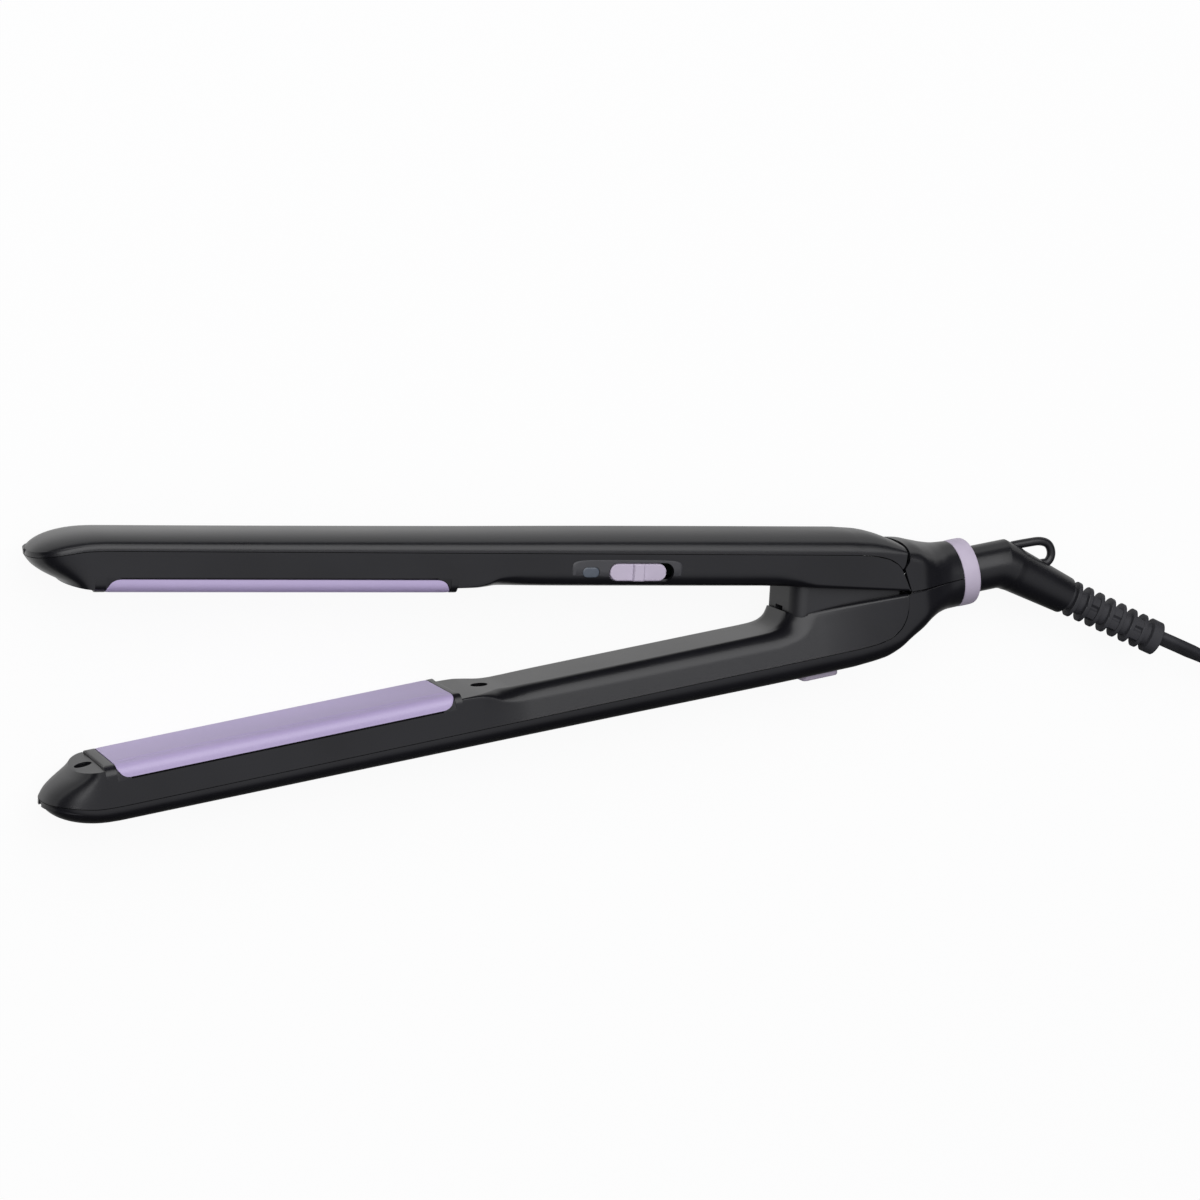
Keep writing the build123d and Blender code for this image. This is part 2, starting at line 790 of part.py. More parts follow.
spring_low = Vector(*lower_arm.from_local_coords((spring_seat_x, spring_post_top, middle)))
spring_high = Vector(*upper_arm.from_local_coords((spring_x, spring_pocket_top, middle)))
spring_axis = (spring_high - spring_low).normalized()
spring_end_gap = spring_wire / 2 + 0.45
spring_start = spring_low + spring_axis * spring_end_gap
spring_length = (spring_high - spring_low).length - 2 * spring_end_gap
with BuildPart() as opening_spring:
    with BuildLine() as spring_line:
        Helix(
            spring_length / spring_turns,
            spring_length,
            spring_radius,
            center=spring_start,
            direction=spring_axis,
        )
    with BuildSketch(Plane(origin=spring_line.line @ 0, z_dir=spring_line.line % 0)):
        Circle(spring_wire / 2)
    sweep(path=spring_line.line, is_frenet=True)
opening_spring.part.label = "opening_spring"

with BuildPart() as contact_brushes:
    # leaves pressed on the swivel's two rings
    for x in contact_places:
        with BuildSketch(Plane.XY.offset(middle - 1)):
            with Locations((x, neck_axis + (contact_radius + running_gap + 6.8) / 2)):
                Rectangle(1.2, 6.8 - contact_radius - running_gap)
        extrude(amount=2)
contact_brushes.part.label = "contact_brushes"

# =============================================================================== upper arm
def upper_rear_outline():
    """Rear end of the upper cover, cut so that it stands beside the neck when open."""
    panel_end(upper_rim)
    Polyline((-3.9, upper_rim), (-3.65, upper_rim), (-6.2, 15.2))
    ThreePointArc((-6.2, 15.2), (-8.2, 16.9), (-12, 17.9))
    Polyline((-12, 17.9), (-21, 18.75), (-21, 26))
    return -21


def upper_inner_line():
    """Inner face of the upper arm, from the handle to its rear end."""
    Polyline(
        (-3.9, upper_rim), (-39, 2.3), (-48.5, 2.6), (-52.3, handle_level),
        (handle_start, handle_level),
    )


def upper_floor_line():
    """Back of the upper arm's inner face, with the seat of the hinge block's flange."""
    Polyline(
        (handle_start, handle_level + wall),
        (-52.3, handle_level + wall),
        (-48.5, flange_seat),
        (-9.5, flange_seat),
        (-9.5, 8.0),
    )


upper_shell = cover_body(upper_arm, upper_heights, upper_rear_outline)
with BuildPart() as upper_cover:
    add(upper_shell)
    with BuildSketch(upper_arm.offset(middle - tongue_space / 2 - fit_gap)):
        with Locations((-6, 0.2)):
            Rectangle(9, 8.4)
    extrude(amount=tongue_space + 2 * fit_gap, mode=Mode.SUBTRACT)
upper_cover.part.label = "upper_cover"

upper_panel = housing_body(upper_arm, upper_inner_line, upper_floor_line, upper_rim)
with BuildPart() as upper_housing:
    add(upper_panel)
    with BuildSketch(facing(upper_arm, -block_front / 2 + 2, -4, middle)):
        Rectangle(block_front + 4.6, block_width + 2 * 0.2)
        fillet(vertices().group_by(Axis.X)[0], block_corner + 0.2)
    extrude(amount=flange_seat + 4, mode=Mode.SUBTRACT)
    # switch on the side: recess of the bezel, slot of the slider and the light's window
    with BuildSketch(upper_arm.offset(arm_width - bezel_seat)):
        with Locations((switch_x, switch_level)):
            RectangleRounded(bezel_length, bezel_height, bezel_corner)
    extrude(amount=bezel_seat + 1, mode=Mode.SUBTRACT)
    with BuildSketch(upper_arm.offset(arm_width - wall)):
        with Locations((slider_slot_x, switch_level)):
            SlotOverall(slider_slot, slider_slot_height)
        with Locations((window_x, switch_level)):
            SlotOverall(window_length + 0.1, window_height + 0.1)
    extrude(amount=wall, mode=Mode.SUBTRACT)
upper_housing.part.label = "upper_housing"

upper_screw_pair = screw_set(upper_arm, upper_heights)
with BuildPart() as upper_screws:
    add(upper_screw_pair)
upper_screws.part.label = "upper_screws"

upper_cushion_pair = cushion_pair(upper_arm)
with BuildPart() as upper_cushions:
    add(upper_cushion_pair)
upper_cushions.part.label = "upper_cushions"

upper_wire_pair = wire_pair(upper_arm, -0.75 * block_front, parting + wire_radius)
with BuildPart() as upper_wires:
    add(upper_wire_pair)
upper_wires.part.label = "upper_wires"

block_side = (arm_width - block_width) / 2
with BuildPart() as hinge_block:
    with BuildSketch(upper_arm.offset(block_side)):
        Polygon(
            (-block_front, block_top),
            (-block_front, -block_depth),
            (-block_rear, -block_depth_rear),
            (-block_rear, flange_seat - 0.2),
            (-flange_rear, flange_seat - 0.2),
            (-flange_rear, block_top),
            align=None,
        )
    extrude(amount=block_width)
    block_edges = hinge_block.edges().filter_by(Axis((0, 0, 0), upper_arm.y_dir))
    fillet(block_edges.group_by(Axis.X)[0], block_corner)
    flange_front = block_front + 1.6
    with BuildSketch(facing(upper_arm, -(flange_front + flange_rear) / 2, flange_seat, middle)):
        RectangleRounded(flange_front - flange_rear, arm_width - 2 * wall - 0.8, block_corner)
    extrude(amount=block_top - flange_seat)
    # tongue and knuckle that turn on the pin
    with BuildSketch(upper_arm.offset(tongue_w)):
        with Locations((-6, 0.3)):
            Rectangle(12, 6.6)
        Circle(knuckle_radius)
    extrude(amount=knuckle_width)
    with BuildSketch(upper_arm.offset(tongue_w)):
        Circle(pin_radius + running_gap)
    extrude(amount=knuckle_width, mode=Mode.SUBTRACT)
    # blind pocket of the opening spring
    with BuildSketch(facing(upper_arm, spring_x, -block_depth - 1, middle)):
        Circle(spring_radius + spring_wire / 2 + 1.1)
    extrude(amount=block_depth + 1 + spring_pocket_top, mode=Mode.SUBTRACT)
    # notch for the lock's hook
    with BuildSketch(upper_arm.offset(middle - lock_stem_width / 2 - 0.5)):
        with Locations((-block_front, hook_level)):
            Rectangle(2 * hook_reach, hook_thickness + 0.8)
    extrude(amount=lock_stem_width + 1, mode=Mode.SUBTRACT)
hinge_block.part.label = "hinge_block"

with BuildPart() as switch_bezel:
    with BuildSketch(upper_arm.offset(arm_width - bezel_seat)):
        with Locations((switch_x, switch_level)):
            RectangleRounded(bezel_length - 0.1, bezel_height - 0.1, bezel_corner)
        with Locations((slider_slot_x, switch_level)):
            SlotOverall(slider_slot, slider_slot_height, mode=Mode.SUBTRACT)
        with Locations((window_x, switch_level)):
            SlotOverall(window_length + 0.1, window_height + 0.1, mode=Mode.SUBTRACT)
    extrude(amount=bezel_seat + 0.2)
switch_bezel.part.label = "switch_bezel"

with BuildPart() as light_window:
    with BuildSketch(upper_arm.offset(arm_width - wall)):
        with Locations((window_x, switch_level)):
            SlotOverall(window_length, window_height)
    extrude(amount=wall + 0.3)
light_window.part.label = "light_window"

with BuildPart() as circuit_board:
    with BuildSketch(upper_arm.offset(arm_width - board_depth)):
        with Locations((board_x, handle_level + wall + board_height / 2)):
            Rectangle(board_length, board_height)
    extrude(amount=board_thickness)
circuit_board.part.label = "circuit_board"

with BuildPart() as status_light:
    with BuildSketch(upper_arm.offset(arm_width - board_depth + board_thickness)):
        with Locations((window_x, switch_level)):
            Rectangle(3.0, 2.4)
    extrude(amount=3.2)
status_light.part.label = "status_light"

with BuildPart() as slide_switch:
    with BuildSketch(upper_arm.offset(arm_width - board_depth + board_thickness)):
        with Locations((slider_x + slider_travel / 2, handle_level + wall + 2.5)):
            Rectangle(13, 5.0)
    extrude(amount=3.8)
slide_switch.part.label = "slide_switch"

with BuildPart() as switch_slider:
    with BuildSketch(upper_arm.offset(arm_width - wall + 0.05)):
        with Locations((slider_x, switch_level)):
            SlotOverall(slider_length, slider_height)
    extrude(amount=wall - 0.15)
    with BuildSketch(upper_arm.offset(arm_width - wall - 0.2)):
        with Locations((slider_x, switch_level + 0.9)):
            Rectangle(slider_length - slider_height, slider_height - 2)
    extrude(amount=0.4)
    with BuildSketch(upper_arm.offset(arm_width - 0.2)):
        with Locations((slider_x, switch_level)):
            RectangleRounded(3.2, slider_height, 0.8)
    extrude(amount=1.0)
    # flange that keeps it in, inside the wall
    with BuildSketch(upper_arm.offset(arm_width - wall - 1.5)):
        with Locations((slider_x + 0.4, (handle_level + wall + 0.2 + 11.4) / 2)):
            Rectangle(22.4, 11.4 - handle_level - wall - 0.2)
    extrude(amount=1.45)
switch_slider.part.label = "switch_slider"

# =========================================================================== plate groups
lower_plate_form = plate_body(lower_arm)
with BuildPart() as lower_plate:
    add(lower_plate_form)
lower_plate.part.label = "lower_plate"

lower_carrier_form = carrier_body(lower_arm)
with BuildPart() as lower_carrier:
    add(lower_carrier_form)
lower_carrier.part.label = "lower_carrier"

lower_heater_form = heater_body(lower_arm)
with BuildPart() as lower_heater:
    add(lower_heater_form)
lower_heater.part.label = "lower_heater"

lower_sensor_form = sensor_body(lower_arm)
with BuildPart() as lower_sensor:
    add(lower_sensor_form)
lower_sensor.part.label = "lower_sensor"

upper_plate_form = plate_body(upper_arm)
with BuildPart() as upper_plate:
    add(upper_plate_form)
upper_plate.part.label = "upper_plate"

upper_carrier_form = carrier_body(upper_arm)
with BuildPart() as upper_carrier:
    add(upper_carrier_form)
upper_carrier.part.label = "upper_carrier"

upper_heater_form = heater_body(upper_arm)
with BuildPart() as upper_heater:
    add(upper_heater_form)
upper_heater.part.label = "upper_heater"

upper_sensor_form = sensor_body(upper_arm)
with BuildPart() as upper_sensor:
    add(upper_sensor_form)
upper_sensor.part.label = "upper_sensor"

# =================================================================================== lock
lock_seat = height_at(lower_heights, lock_x) + 0.1
bar_top = height_at(lower_heights, lock_x) - wall - 0.5
with BuildPart() as lock_slider:
    with BuildSketch(facing(lower_arm, lock_x, lock_seat, middle)):
        RectangleRounded(lock_length, lock_width, 1.6)
    extrude(amount=lock_height)
    fillet(lock_slider.faces().sort_by(Axis.Y)[0].edges(), 0.6)
    with BuildSketch(facing(lower_arm, lock_x, bar_top - 1, middle)):
        Rectangle(lock_stem_length, lock_stem_width)
    extrude(amount=lock_seat - bar_top + 1.5)
    with BuildSketch(facing(lower_arm, lock_x - 0.5, bar_top - 2, middle)):
        Rectangle(8.0, lock_stem_width + 4)
    extrude(amount=2)
    # hook that reaches up in front of the hinge block
    hook_low = -hook_level - hook_thickness / 2
    with BuildSketch(lower_arm.offset(middle - lock_stem_width / 2)):
        with BuildLine():
            Polyline(
                (lock_x, bar_top),
                (hook_x, bar_top),
                (hook_x, hook_low),
                (hook_x + 4.8, hook_low),
                (hook_x + 4.8, hook_low + hook_thickness),
                (hook_x + 1.8, hook_low + hook_thickness),
                (hook_x + 1.8, bar_top - 2),
                (lock_x, bar_top - 2),
                close=True,
            )
        make_face()
    extrude(amount=lock_stem_width)
lock_slider.part.label = "lock_slider"

# ================================================================================= swivel
bend = Vector(elbow_bend, neck_axis, middle)
leg_direction = Vector(cos(radians(elbow_angle)), -sin(radians(elbow_angle)), 0)
elbow_end = bend + leg_direction * elbow_leg
relief_direction = Vector(cos(radians(relief_angle)), -sin(radians(relief_angle)), 0)
relief_start = elbow_end + relief_direction * 0.26
relief_end = relief_start + relief_direction * relief_length
elbow_start = neck_length + clamp_length + 0.2
loop_centre = (elbow_bend + loop_reach, neck_axis + 0.2)
loop_inner = loop_radius - loop_bar

with BuildPart() as swivel_elbow:
    with BuildSketch(along_neck(nose_start)):
        Circle(contact_radius - 0.8)
    extrude(amount=elbow_start - nose_start)
    with BuildSketch(along_neck(web_front - 0.1 - flange_thickness)):
        Circle(flange_radius)
    extrude(amount=flange_thickness)
    with BuildSketch(along_neck(web_front - 0.1)):
        Circle(stem_radius)
    extrude(amount=elbow_start - web_front + 0.1)
    with BuildSketch(along_neck(elbow_start)):
        Circle(elbow_radius)
    extrude(amount=elbow_bend - elbow_start)
    with Locations(bend):
        Sphere(elbow_radius)
    # second leg, tapered to the strain relief
    with BuildSketch(Plane(origin=bend, z_dir=leg_direction)):
        Circle(elbow_radius)
    with BuildSketch(Plane(origin=elbow_end, z_dir=leg_direction)):
        Circle(elbow_end_radius)
    loft()
    # hanging loop
    with BuildSketch(Plane.XY.offset(middle - loop_width / 2)):
        with BuildLine():
            Polyline(
                (elbow_bend - 1, neck_axis),
                (elbow_bend + 0.6, neck_axis + 6.6),
                (elbow_bend + 2.2, neck_axis + 7.0),
                (loop_centre[0] + 1.6, loop_centre[1] + loop_radius - 0.2),
            )
            ThreePointArc(
                (loop_centre[0] + 1.6, loop_centre[1] + loop_radius - 0.2),
                (loop_centre[0] + loop_radius, loop_centre[1] + 0.4),
                (loop_centre[0] + 3.8, loop_centre[1] - 3.8),
            )
            Polyline(
                (loop_centre[0] + 3.8, loop_centre[1] - 3.8),
                (loop_centre[0] + 1.0, loop_centre[1] - 8.0),
                (elbow_bend - 1, neck_axis),
            )
        make_face()
        with BuildLine():
            Polyline(
                (elbow_bend + 7.5, neck_axis + 2.2),
                (elbow_bend + 8.3, neck_axis + 4.0),
                (loop_centre[0] + 0.8, loop_centre[1] + loop_inner - 0.1),
            )
            ThreePointArc(
                (loop_centre[0] + 0.8, loop_centre[1] + loop_inner - 0.1),
                (loop_centre[0] + loop_inner, loop_centre[1] + 0.2),
                (loop_centre[0] + 2.2, loop_centre[1] - 2.2),
            )
            Polyline(
                (loop_centre[0] + 2.2, loop_centre[1] - 2.2),
                (loop_centre[0] - 1.0, loop_centre[1] - 5.4),
                (elbow_bend + 7.5, neck_axis + 2.2),
            )
        make_face(mode=Mode.SUBTRACT)
    extrude(amount=loop_width)
swivel_elbow.part.label = "swivel_elbow"

with BuildPart() as contact_rings:
    for x in contact_places:
        with BuildSketch(along_neck(x - 0.7)):
            Circle(contact_radius)
            Circle(contact_radius - 0.8, mode=Mode.SUBTRACT)
        extrude(amount=1.4)
contact_rings.part.label = "contact_rings"


def along_relief(distance):
    """Plane square to the strain relief, so far along it, with its local y across the arms."""
    origin = relief_start + relief_direction * distance
    return Plane(origin=origin, x_dir=Vector(0, 0, 1).cross(relief_direction), z_dir=relief_direction)


collar_start = relief_length - collar_length
with BuildPart() as strain_relief:
    with BuildSketch(along_relief(0)):
        Circle(relief_core)
    extrude(amount=relief_length)
    for i in range(relief_ribs):
        place = relief_first_groove + i * relief_pitch
        with BuildSketch(along_relief(place)):
            Circle(relief_radius + (relief_end_radius - relief_radius) * place / relief_length)
        extrude(amount=relief_rib_width)
        # bridges to the next rib, in turn at the sides and above and below
        with BuildSketch(along_relief(place + relief_rib_width)):
            Rectangle(2 * relief_end_radius - 0.8, relief_bridge, rotation=90 * (i % 2))
        extrude(amount=min(relief_pitch, collar_start + 0.5 - place) - relief_rib_width)
    with BuildSketch(along_relief(collar_start)):
        Circle(relief_end_radius)
    extrude(amount=collar_length)
strain_relief.part.label = "strain_relief"

# =================================================================================== cord
def flat_cord(points):
    """Flat cord along straight runs joined by tangent arcs, its broad side upright."""
    runs = [(b - a).length for a, b in zip(points, points[1:])]
    radii = []
    for i in range(1, len(points) - 1):
        before = (points[i] - points[i - 1]).normalized()
        after = (points[i + 1] - points[i]).normalized()
        turn = radians(before.get_angle(after))
        radii.append(0.45 * min(runs[i - 1], runs[i]) / tan(turn / 2))
    with BuildPart() as cord:
        with BuildLine() as route:
            FilletPolyline(*points, radius=radii)
        path = route.wire()
        with BuildSketch(Plane(origin=path @ 0, x_dir=(0, 0, 1), z_dir=path % 0)):
            RectangleRounded(cord_width, cord_thickness, cord_thickness / 2 - 0.05)
        section = cord.pending_faces[0].area
        sweep(path=path)
    print("cord radii", [round(r, 1) for r in radii], "length", round(path.length, 1),
          "volume ratio", round(cord.part.volume / (section * path.length), 4))
    return cord.part


centre = Vector(coil_centre[0], coil_centre[1], 0)
level_low = cord_width / 2 + tie_thickness + 0.05
level_high = level_low + cord_width + 0.2
entry = Vector(135.2, -61.2, level_low)
plan = Vector(entry.X - relief_end.X, entry.Y - relief_end.Y, 0)
reach = plan.length
plan = plan.normalized()
lead_points = [
    relief_end + plan * 0.06,
    relief_end + plan * 15,
    Vector(relief_end.X, relief_end.Y, level_low) + plan * 37,
    Vector(relief_end.X, relief_end.Y, level_low) + plan * (reach - 6),
]
lead_form = flat_cord(lead_points)
with BuildPart() as cord_lead:
    add(lead_form)
cord_lead.part.label = "cord_lead"

with BuildPart() as cord_coil:
    with BuildSketch(Plane.XY.offset(level_low - cord_width / 2)):
        with Locations((centre.X, centre.Y)):
            Circle(coil_outer + cord_thickness / 2)
            Circle(coil_inner - cord_thickness / 2, mode=Mode.SUBTRACT)
    extrude(amount=level_high - level_low + cord_width)
cord_coil.part.label = "cord_coil"

tail_start = Vector(centre.X + coil_outer, centre.Y, level_high)
tail_points = [
    tail_start,
    tail_start + Vector(-0.3, 18, -0.4),
    tail_start + Vector(-4.8, 36, plug_thickness / 2 + 0.1 - level_high),
    tail_start + Vector(-6.3, 50, plug_thickness / 2 + 0.1 - level_high),
]
tail_form = flat_cord(tail_points)
with BuildPart() as cord_tail:
    add(tail_form)
cord_tail.part.label = "cord_tail"

tie_place = Location((centre.X, centre.Y, 0), (0, 0, tie_angle))
tie_low = level_low - cord_width / 2 - tie_thickness - 0.05
tie_high = level_high + cord_width / 2 + tie_thickness + 0.05
tie_inner = coil_inner - cord_thickness / 2 - 0.7
tie_outer = coil_outer + cord_thickness / 2 + 0.3
with BuildPart() as coil_tie:
    with BuildSketch(Plane.XZ.offset(-tie_width / 2)):
        with Locations(((tie_inner + tie_outer) / 2, (tie_low + tie_high) / 2)):
            Rectangle(tie_outer - tie_inner + 2 * tie_thickness, tie_high - tie_low)
            Rectangle(tie_outer - tie_inner, tie_high - tie_low - 2 * tie_thickness, mode=Mode.SUBTRACT)
    extrude(amount=tie_width)
coil_tie_part = tie_place * coil_tie.part
coil_tie_part.label = "coil_tie"

plug_axis = tail_points[3] - tail_points[2]
plug_axis = Vector(plug_axis.X, plug_axis.Y, 0).normalized()
plug_start = tail_points[3]


def along_plug(distance):
    """Plane square to the plug, so far along it, with its local y upright."""
    origin = plug_start + plug_axis * distance
    return Plane(origin=origin, x_dir=plug_axis.cross(Vector(0, 0, 1)), z_dir=plug_axis)


with BuildPart() as plug_body:
    with BuildSketch(along_plug(0)):
        RectangleRounded(plug_rear_width, plug_rear_thickness, 3.0)
    with BuildSketch(along_plug(plug_length * 0.55)):
        RectangleRounded(plug_width, plug_thickness, 6.0)
    loft()
    with BuildSketch(along_plug(plug_length * 0.55)):
        RectangleRounded(plug_width, plug_thickness, 6.0)
    extrude(amount=plug_length * 0.45)
plug_body.part.label = "plug_body"

with BuildPart() as plug_pins:
    with BuildSketch(along_plug(plug_length)):
        with Locations((-plug_pin_spacing / 2, 0), (plug_pin_spacing / 2, 0)):
            Circle(plug_pin_radius)
    extrude(amount=plug_pin_length)
    pin_edges = plug_pins.edges().filter_by(GeomType.CIRCLE)
    fillet(pin_edges.group_by(Axis(plug_start, plug_axis))[-1], 1.2)
plug_pins.part.label = "plug_pins"

# ================================================================================== export
export_step(lower_cover.part, "parts/lower_cover.step")
export_step(lower_housing.part, "parts/lower_housing.step")
export_step(lower_screws.part, "parts/lower_screws.step")
export_step(lower_cushions.part, "parts/lower_cushions.step")
export_step(lower_wires.part, "parts/lower_wires.step")
export_step(neck_cap.part, "parts/neck_cap.step")
export_step(neck_ring.part, "parts/neck_ring.step")
export_step(hinge_pin.part, "parts/hinge_pin.step")
export_step(opening_spring.part, "parts/opening_spring.step")
export_step(contact_brushes.part, "parts/contact_brushes.step")
export_step(cord_lead.part, "parts/cord_lead.step")
export_step(cord_coil.part, "parts/cord_coil.step")
export_step(cord_tail.part, "parts/cord_tail.step")
export_step(coil_tie_part, "parts/coil_tie.step")
export_step(plug_body.part, "parts/plug_body.step")
export_step(plug_pins.part, "parts/plug_pins.step")
export_step(upper_cover.part, "parts/upper_cover.step")
export_step(upper_housing.part, "parts/upper_housing.step")
export_step(upper_screws.part, "parts/upper_screws.step")
export_step(upper_cushions.part, "parts/upper_cushions.step")
export_step(upper_wires.part, "parts/upper_wires.step")
export_step(hinge_block.part, "parts/hinge_block.step")
export_step(switch_bezel.part, "parts/switch_bezel.step")
export_step(light_window.part, "parts/light_window.step")
export_step(status_light.part, "parts/status_light.step")
export_step(slide_switch.part, "parts/slide_switch.step")
export_step(circuit_board.part, "parts/circuit_board.step")
export_step(switch_slider.part, "parts/switch_slider.step")
export_step(lower_plate.part, "parts/lower_plate.step")
export_step(lower_carrier.part, "parts/lower_carrier.step")
export_step(lower_heater.part, "parts/lower_heater.step")
export_step(lower_sensor.part, "parts/lower_sensor.step")
export_step(upper_plate.part, "parts/upper_plate.step")
export_step(upper_carrier.part, "parts/upper_carrier.step")
export_step(upper_heater.part, "parts/upper_heater.step")
export_step(upper_sensor.part, "parts/upper_sensor.step")
export_step(lock_slider.part, "parts/lock_slider.step")
export_step(swivel_elbow.part, "parts/swivel_elbow.step")
export_step(strain_relief.part, "parts/strain_relief.step")
export_step(contact_rings.part, "parts/contact_rings.step")
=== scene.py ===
import bmesh
import bpy
import numpy as np
from mathutils import Matrix


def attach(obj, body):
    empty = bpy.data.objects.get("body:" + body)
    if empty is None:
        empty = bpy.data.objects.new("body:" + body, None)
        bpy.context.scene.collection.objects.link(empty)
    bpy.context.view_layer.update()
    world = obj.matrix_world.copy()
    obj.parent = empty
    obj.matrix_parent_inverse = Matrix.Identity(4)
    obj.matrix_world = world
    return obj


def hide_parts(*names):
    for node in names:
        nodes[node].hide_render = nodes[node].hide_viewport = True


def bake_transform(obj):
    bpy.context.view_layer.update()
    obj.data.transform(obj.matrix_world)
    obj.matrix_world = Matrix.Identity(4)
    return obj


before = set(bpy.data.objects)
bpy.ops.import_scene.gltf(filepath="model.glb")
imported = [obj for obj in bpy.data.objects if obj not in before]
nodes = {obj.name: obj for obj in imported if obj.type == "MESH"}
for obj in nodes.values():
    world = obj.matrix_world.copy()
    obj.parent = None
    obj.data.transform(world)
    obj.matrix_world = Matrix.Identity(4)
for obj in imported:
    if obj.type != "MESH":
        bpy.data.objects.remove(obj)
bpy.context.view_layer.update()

# ------------------------------ table, light and camera
# The straightener lies open on its flat side on a pale table, under a wide soft light. The
# camera looks down on it from in front of its tips.
camera_right = (0.92139116, -0.11770616, 0.37038305)
camera_up = (0.18592588, 0.97039907, -0.15413372)
camera_back = (-0.34127688, 0.21088124, 0.91600174)
camera_place = (-0.440975, 0.227338, 0.935112)


def placed(name, data):
    """New object of that name in the scene."""
    made = bpy.data.objects.new(name, data)
    bpy.context.scene.collection.objects.link(made)
    return made


camera_data = bpy.data.cameras.new("camera")
camera_data.lens = 102.22
camera_data.sensor_width = 36
camera = placed("camera", camera_data)
stand = np.column_stack([camera_right, camera_up, camera_back, camera_place])
camera.matrix_world = Matrix([*stand.tolist(), [0, 0, 0, 1]])
bpy.context.scene.camera = camera
bpy.context.scene.view_settings.view_transform = "Standard"


class Signal:
    """A node socket in a sum: each operator adds the Math node that works it out."""

    def __init__(self, tree, socket):
        self.tree = tree
        self.socket = socket

    def math(self, operation, *others):
        """Math node of this socket and the other terms, sockets or numbers."""
        node = self.tree.nodes.new("ShaderNodeMath")
        node.operation = operation
        for entry, term in zip(node.inputs, (self, *others)):
            if isinstance(term, Signal):
                self.tree.links.new(term.socket, entry)
            else:
                entry.default_value = term
        return Signal(self.tree, node.outputs[0])

    def __add__(self, other):
        return self.math("ADD", other)

    def __sub__(self, other):
        return self.math("SUBTRACT", other)

    def __rsub__(self, other):
        return self.math("MULTIPLY_ADD", -1.0, other)

    def __mul__(self, other):
        return self.math("MULTIPLY", other)

    __radd__ = __add__
    __rmul__ = __mul__

    def step(self, low, high):
        """Smooth rise from 0 at low to 1 at high, three squares of the share less two cubes."""
        share = (self - low) * (1.0 / (high - low))
        share = share.math("MAXIMUM", 0.0).math("MINIMUM", 1.0)
        return share * share * (3.0 - 2.0 * share)


class Shading:
    """The node tree of a material or of the sky."""

    def __init__(self, owner):
        owner.use_nodes = True
        self.owner = owner
        self.tree = owner.node_tree
        self.tree.nodes.clear()

    def node(self, kind, output, settings, sockets):
        """Adds a node: its settings first, then the values or links of its sockets."""
        made = self.tree.nodes.new(kind)
        for name, value in settings.items():
            setattr(made, name, value)
        for name, value in sockets.items():
            if isinstance(value, Signal):
                self.tree.links.new(value.socket, made.inputs[name])
            else:
                made.inputs[name].default_value = value
        return Signal(self.tree, made.outputs[output]) if made.outputs else made

    def mixed(self, share, first, second):
        """Colour between two colours, by a share from 0 to 1."""
        ends = [c if isinstance(c, Signal) else (*c, 1.0) for c in (first, second)]
        sockets = {0: share, 6: ends[0], 7: ends[1]}
        return self.node("ShaderNodeMix", 2, {"data_type": "RGBA"}, sockets)


# the sky is white to the camera and soft grey on the object, brighter overhead
sky = Shading(bpy.data.worlds.new("sky"))
bpy.context.scene.world = sky.owner
seen = sky.node("ShaderNodeLightPath", "Is Camera Ray", {}, {})
heading = sky.node("ShaderNodeTexCoord", "Generated", {}, {})
climb = sky.node("ShaderNodeSeparateXYZ", 2, {}, {0: heading})
overhead = sky.mixed(climb.step(0.5, 0.9), (0.015, 0.015, 0.018), (0.62, 0.62, 0.65))
glow = sky.mixed(seen, overhead, (1.0, 1.0, 1.0))
spread = sky.node("ShaderNodeBackground", 0, {}, {"Color": glow, "Strength": 1.0})
sky.node("ShaderNodeOutputWorld", 0, {}, {"Surface": spread})

# wide soft light overhead, a little behind the upper arm
light_data = bpy.data.lights.new("soft light", "AREA")
light_data.shape = "RECTANGLE"
light_data.size = 2.6
light_data.size_y = 1.8
light_data.energy = 30
light = placed("soft light", light_data)
light.location = (-0.1, 0.95, 1.4)
light.rotation_euler = (-0.6, 0, 0)

# white table, which keeps the shadow; to glossy rays it glows with a painted reflection that
# fades out on the lower arm's side and is bright between the arms
table_half = 3.0
table_level = -0.0002
seen_white = 0.93           # share of plain white to the camera; the rest is lit and takes shadow
painted_reflection_between = 0.66        # what the arms mirror of the table between them
table = Shading(bpy.data.materials.new("white table"))
route = table.tree.nodes.new("ShaderNodeLightPath")
watched = Signal(table.tree, route.outputs["Is Camera Ray"])
mirrored = Signal(table.tree, route.outputs["Is Glossy Ray"])
top = table.node("ShaderNodeBsdfDiffuse", 0, {}, {"Color": (0.86, 0.86, 0.87, 1.0)})
spot = table.node("ShaderNodeTexCoord", "Object", {}, {})
across = table.node("ShaderNodeSeparateXYZ", 1, {}, {0: spot})
# painted reflection: to glossy rays the table glows white by place, dark on the lower arm's side and at a
# share between the arms
between = across.step(-0.04, 0.0) * (1.0 - across.step(0.02, 0.05)) * painted_reflection_between
lit = watched.math("MAXIMUM", across.step(-0.06, 0.12)).math("MAXIMUM", between)
white = table.mixed(lit, (0.03, 0.03, 0.03), (1.0, 1.0, 1.0))
bright = table.node("ShaderNodeEmission", 0, {}, {"Color": white, "Strength": 1.0})
share = watched * seen_white + mirrored
surface = table.node("ShaderNodeMixShader", 0, {}, {0: share, 1: top, 2: bright})
table.node("ShaderNodeOutputMaterial", 0, {}, {"Surface": surface})
table_corners = np.array([(-1, -1), (1, -1), (1, 1), (-1, 1)]) * table_half
table_mesh = bpy.data.meshes.new("table")
table_points = np.column_stack([table_corners, np.full(4, table_level)])
table_mesh.from_pydata(table_points.tolist(), [], [(0, 1, 2, 3)])
table_mesh.materials.append(table.owner)
floor = placed("table", table_mesh)


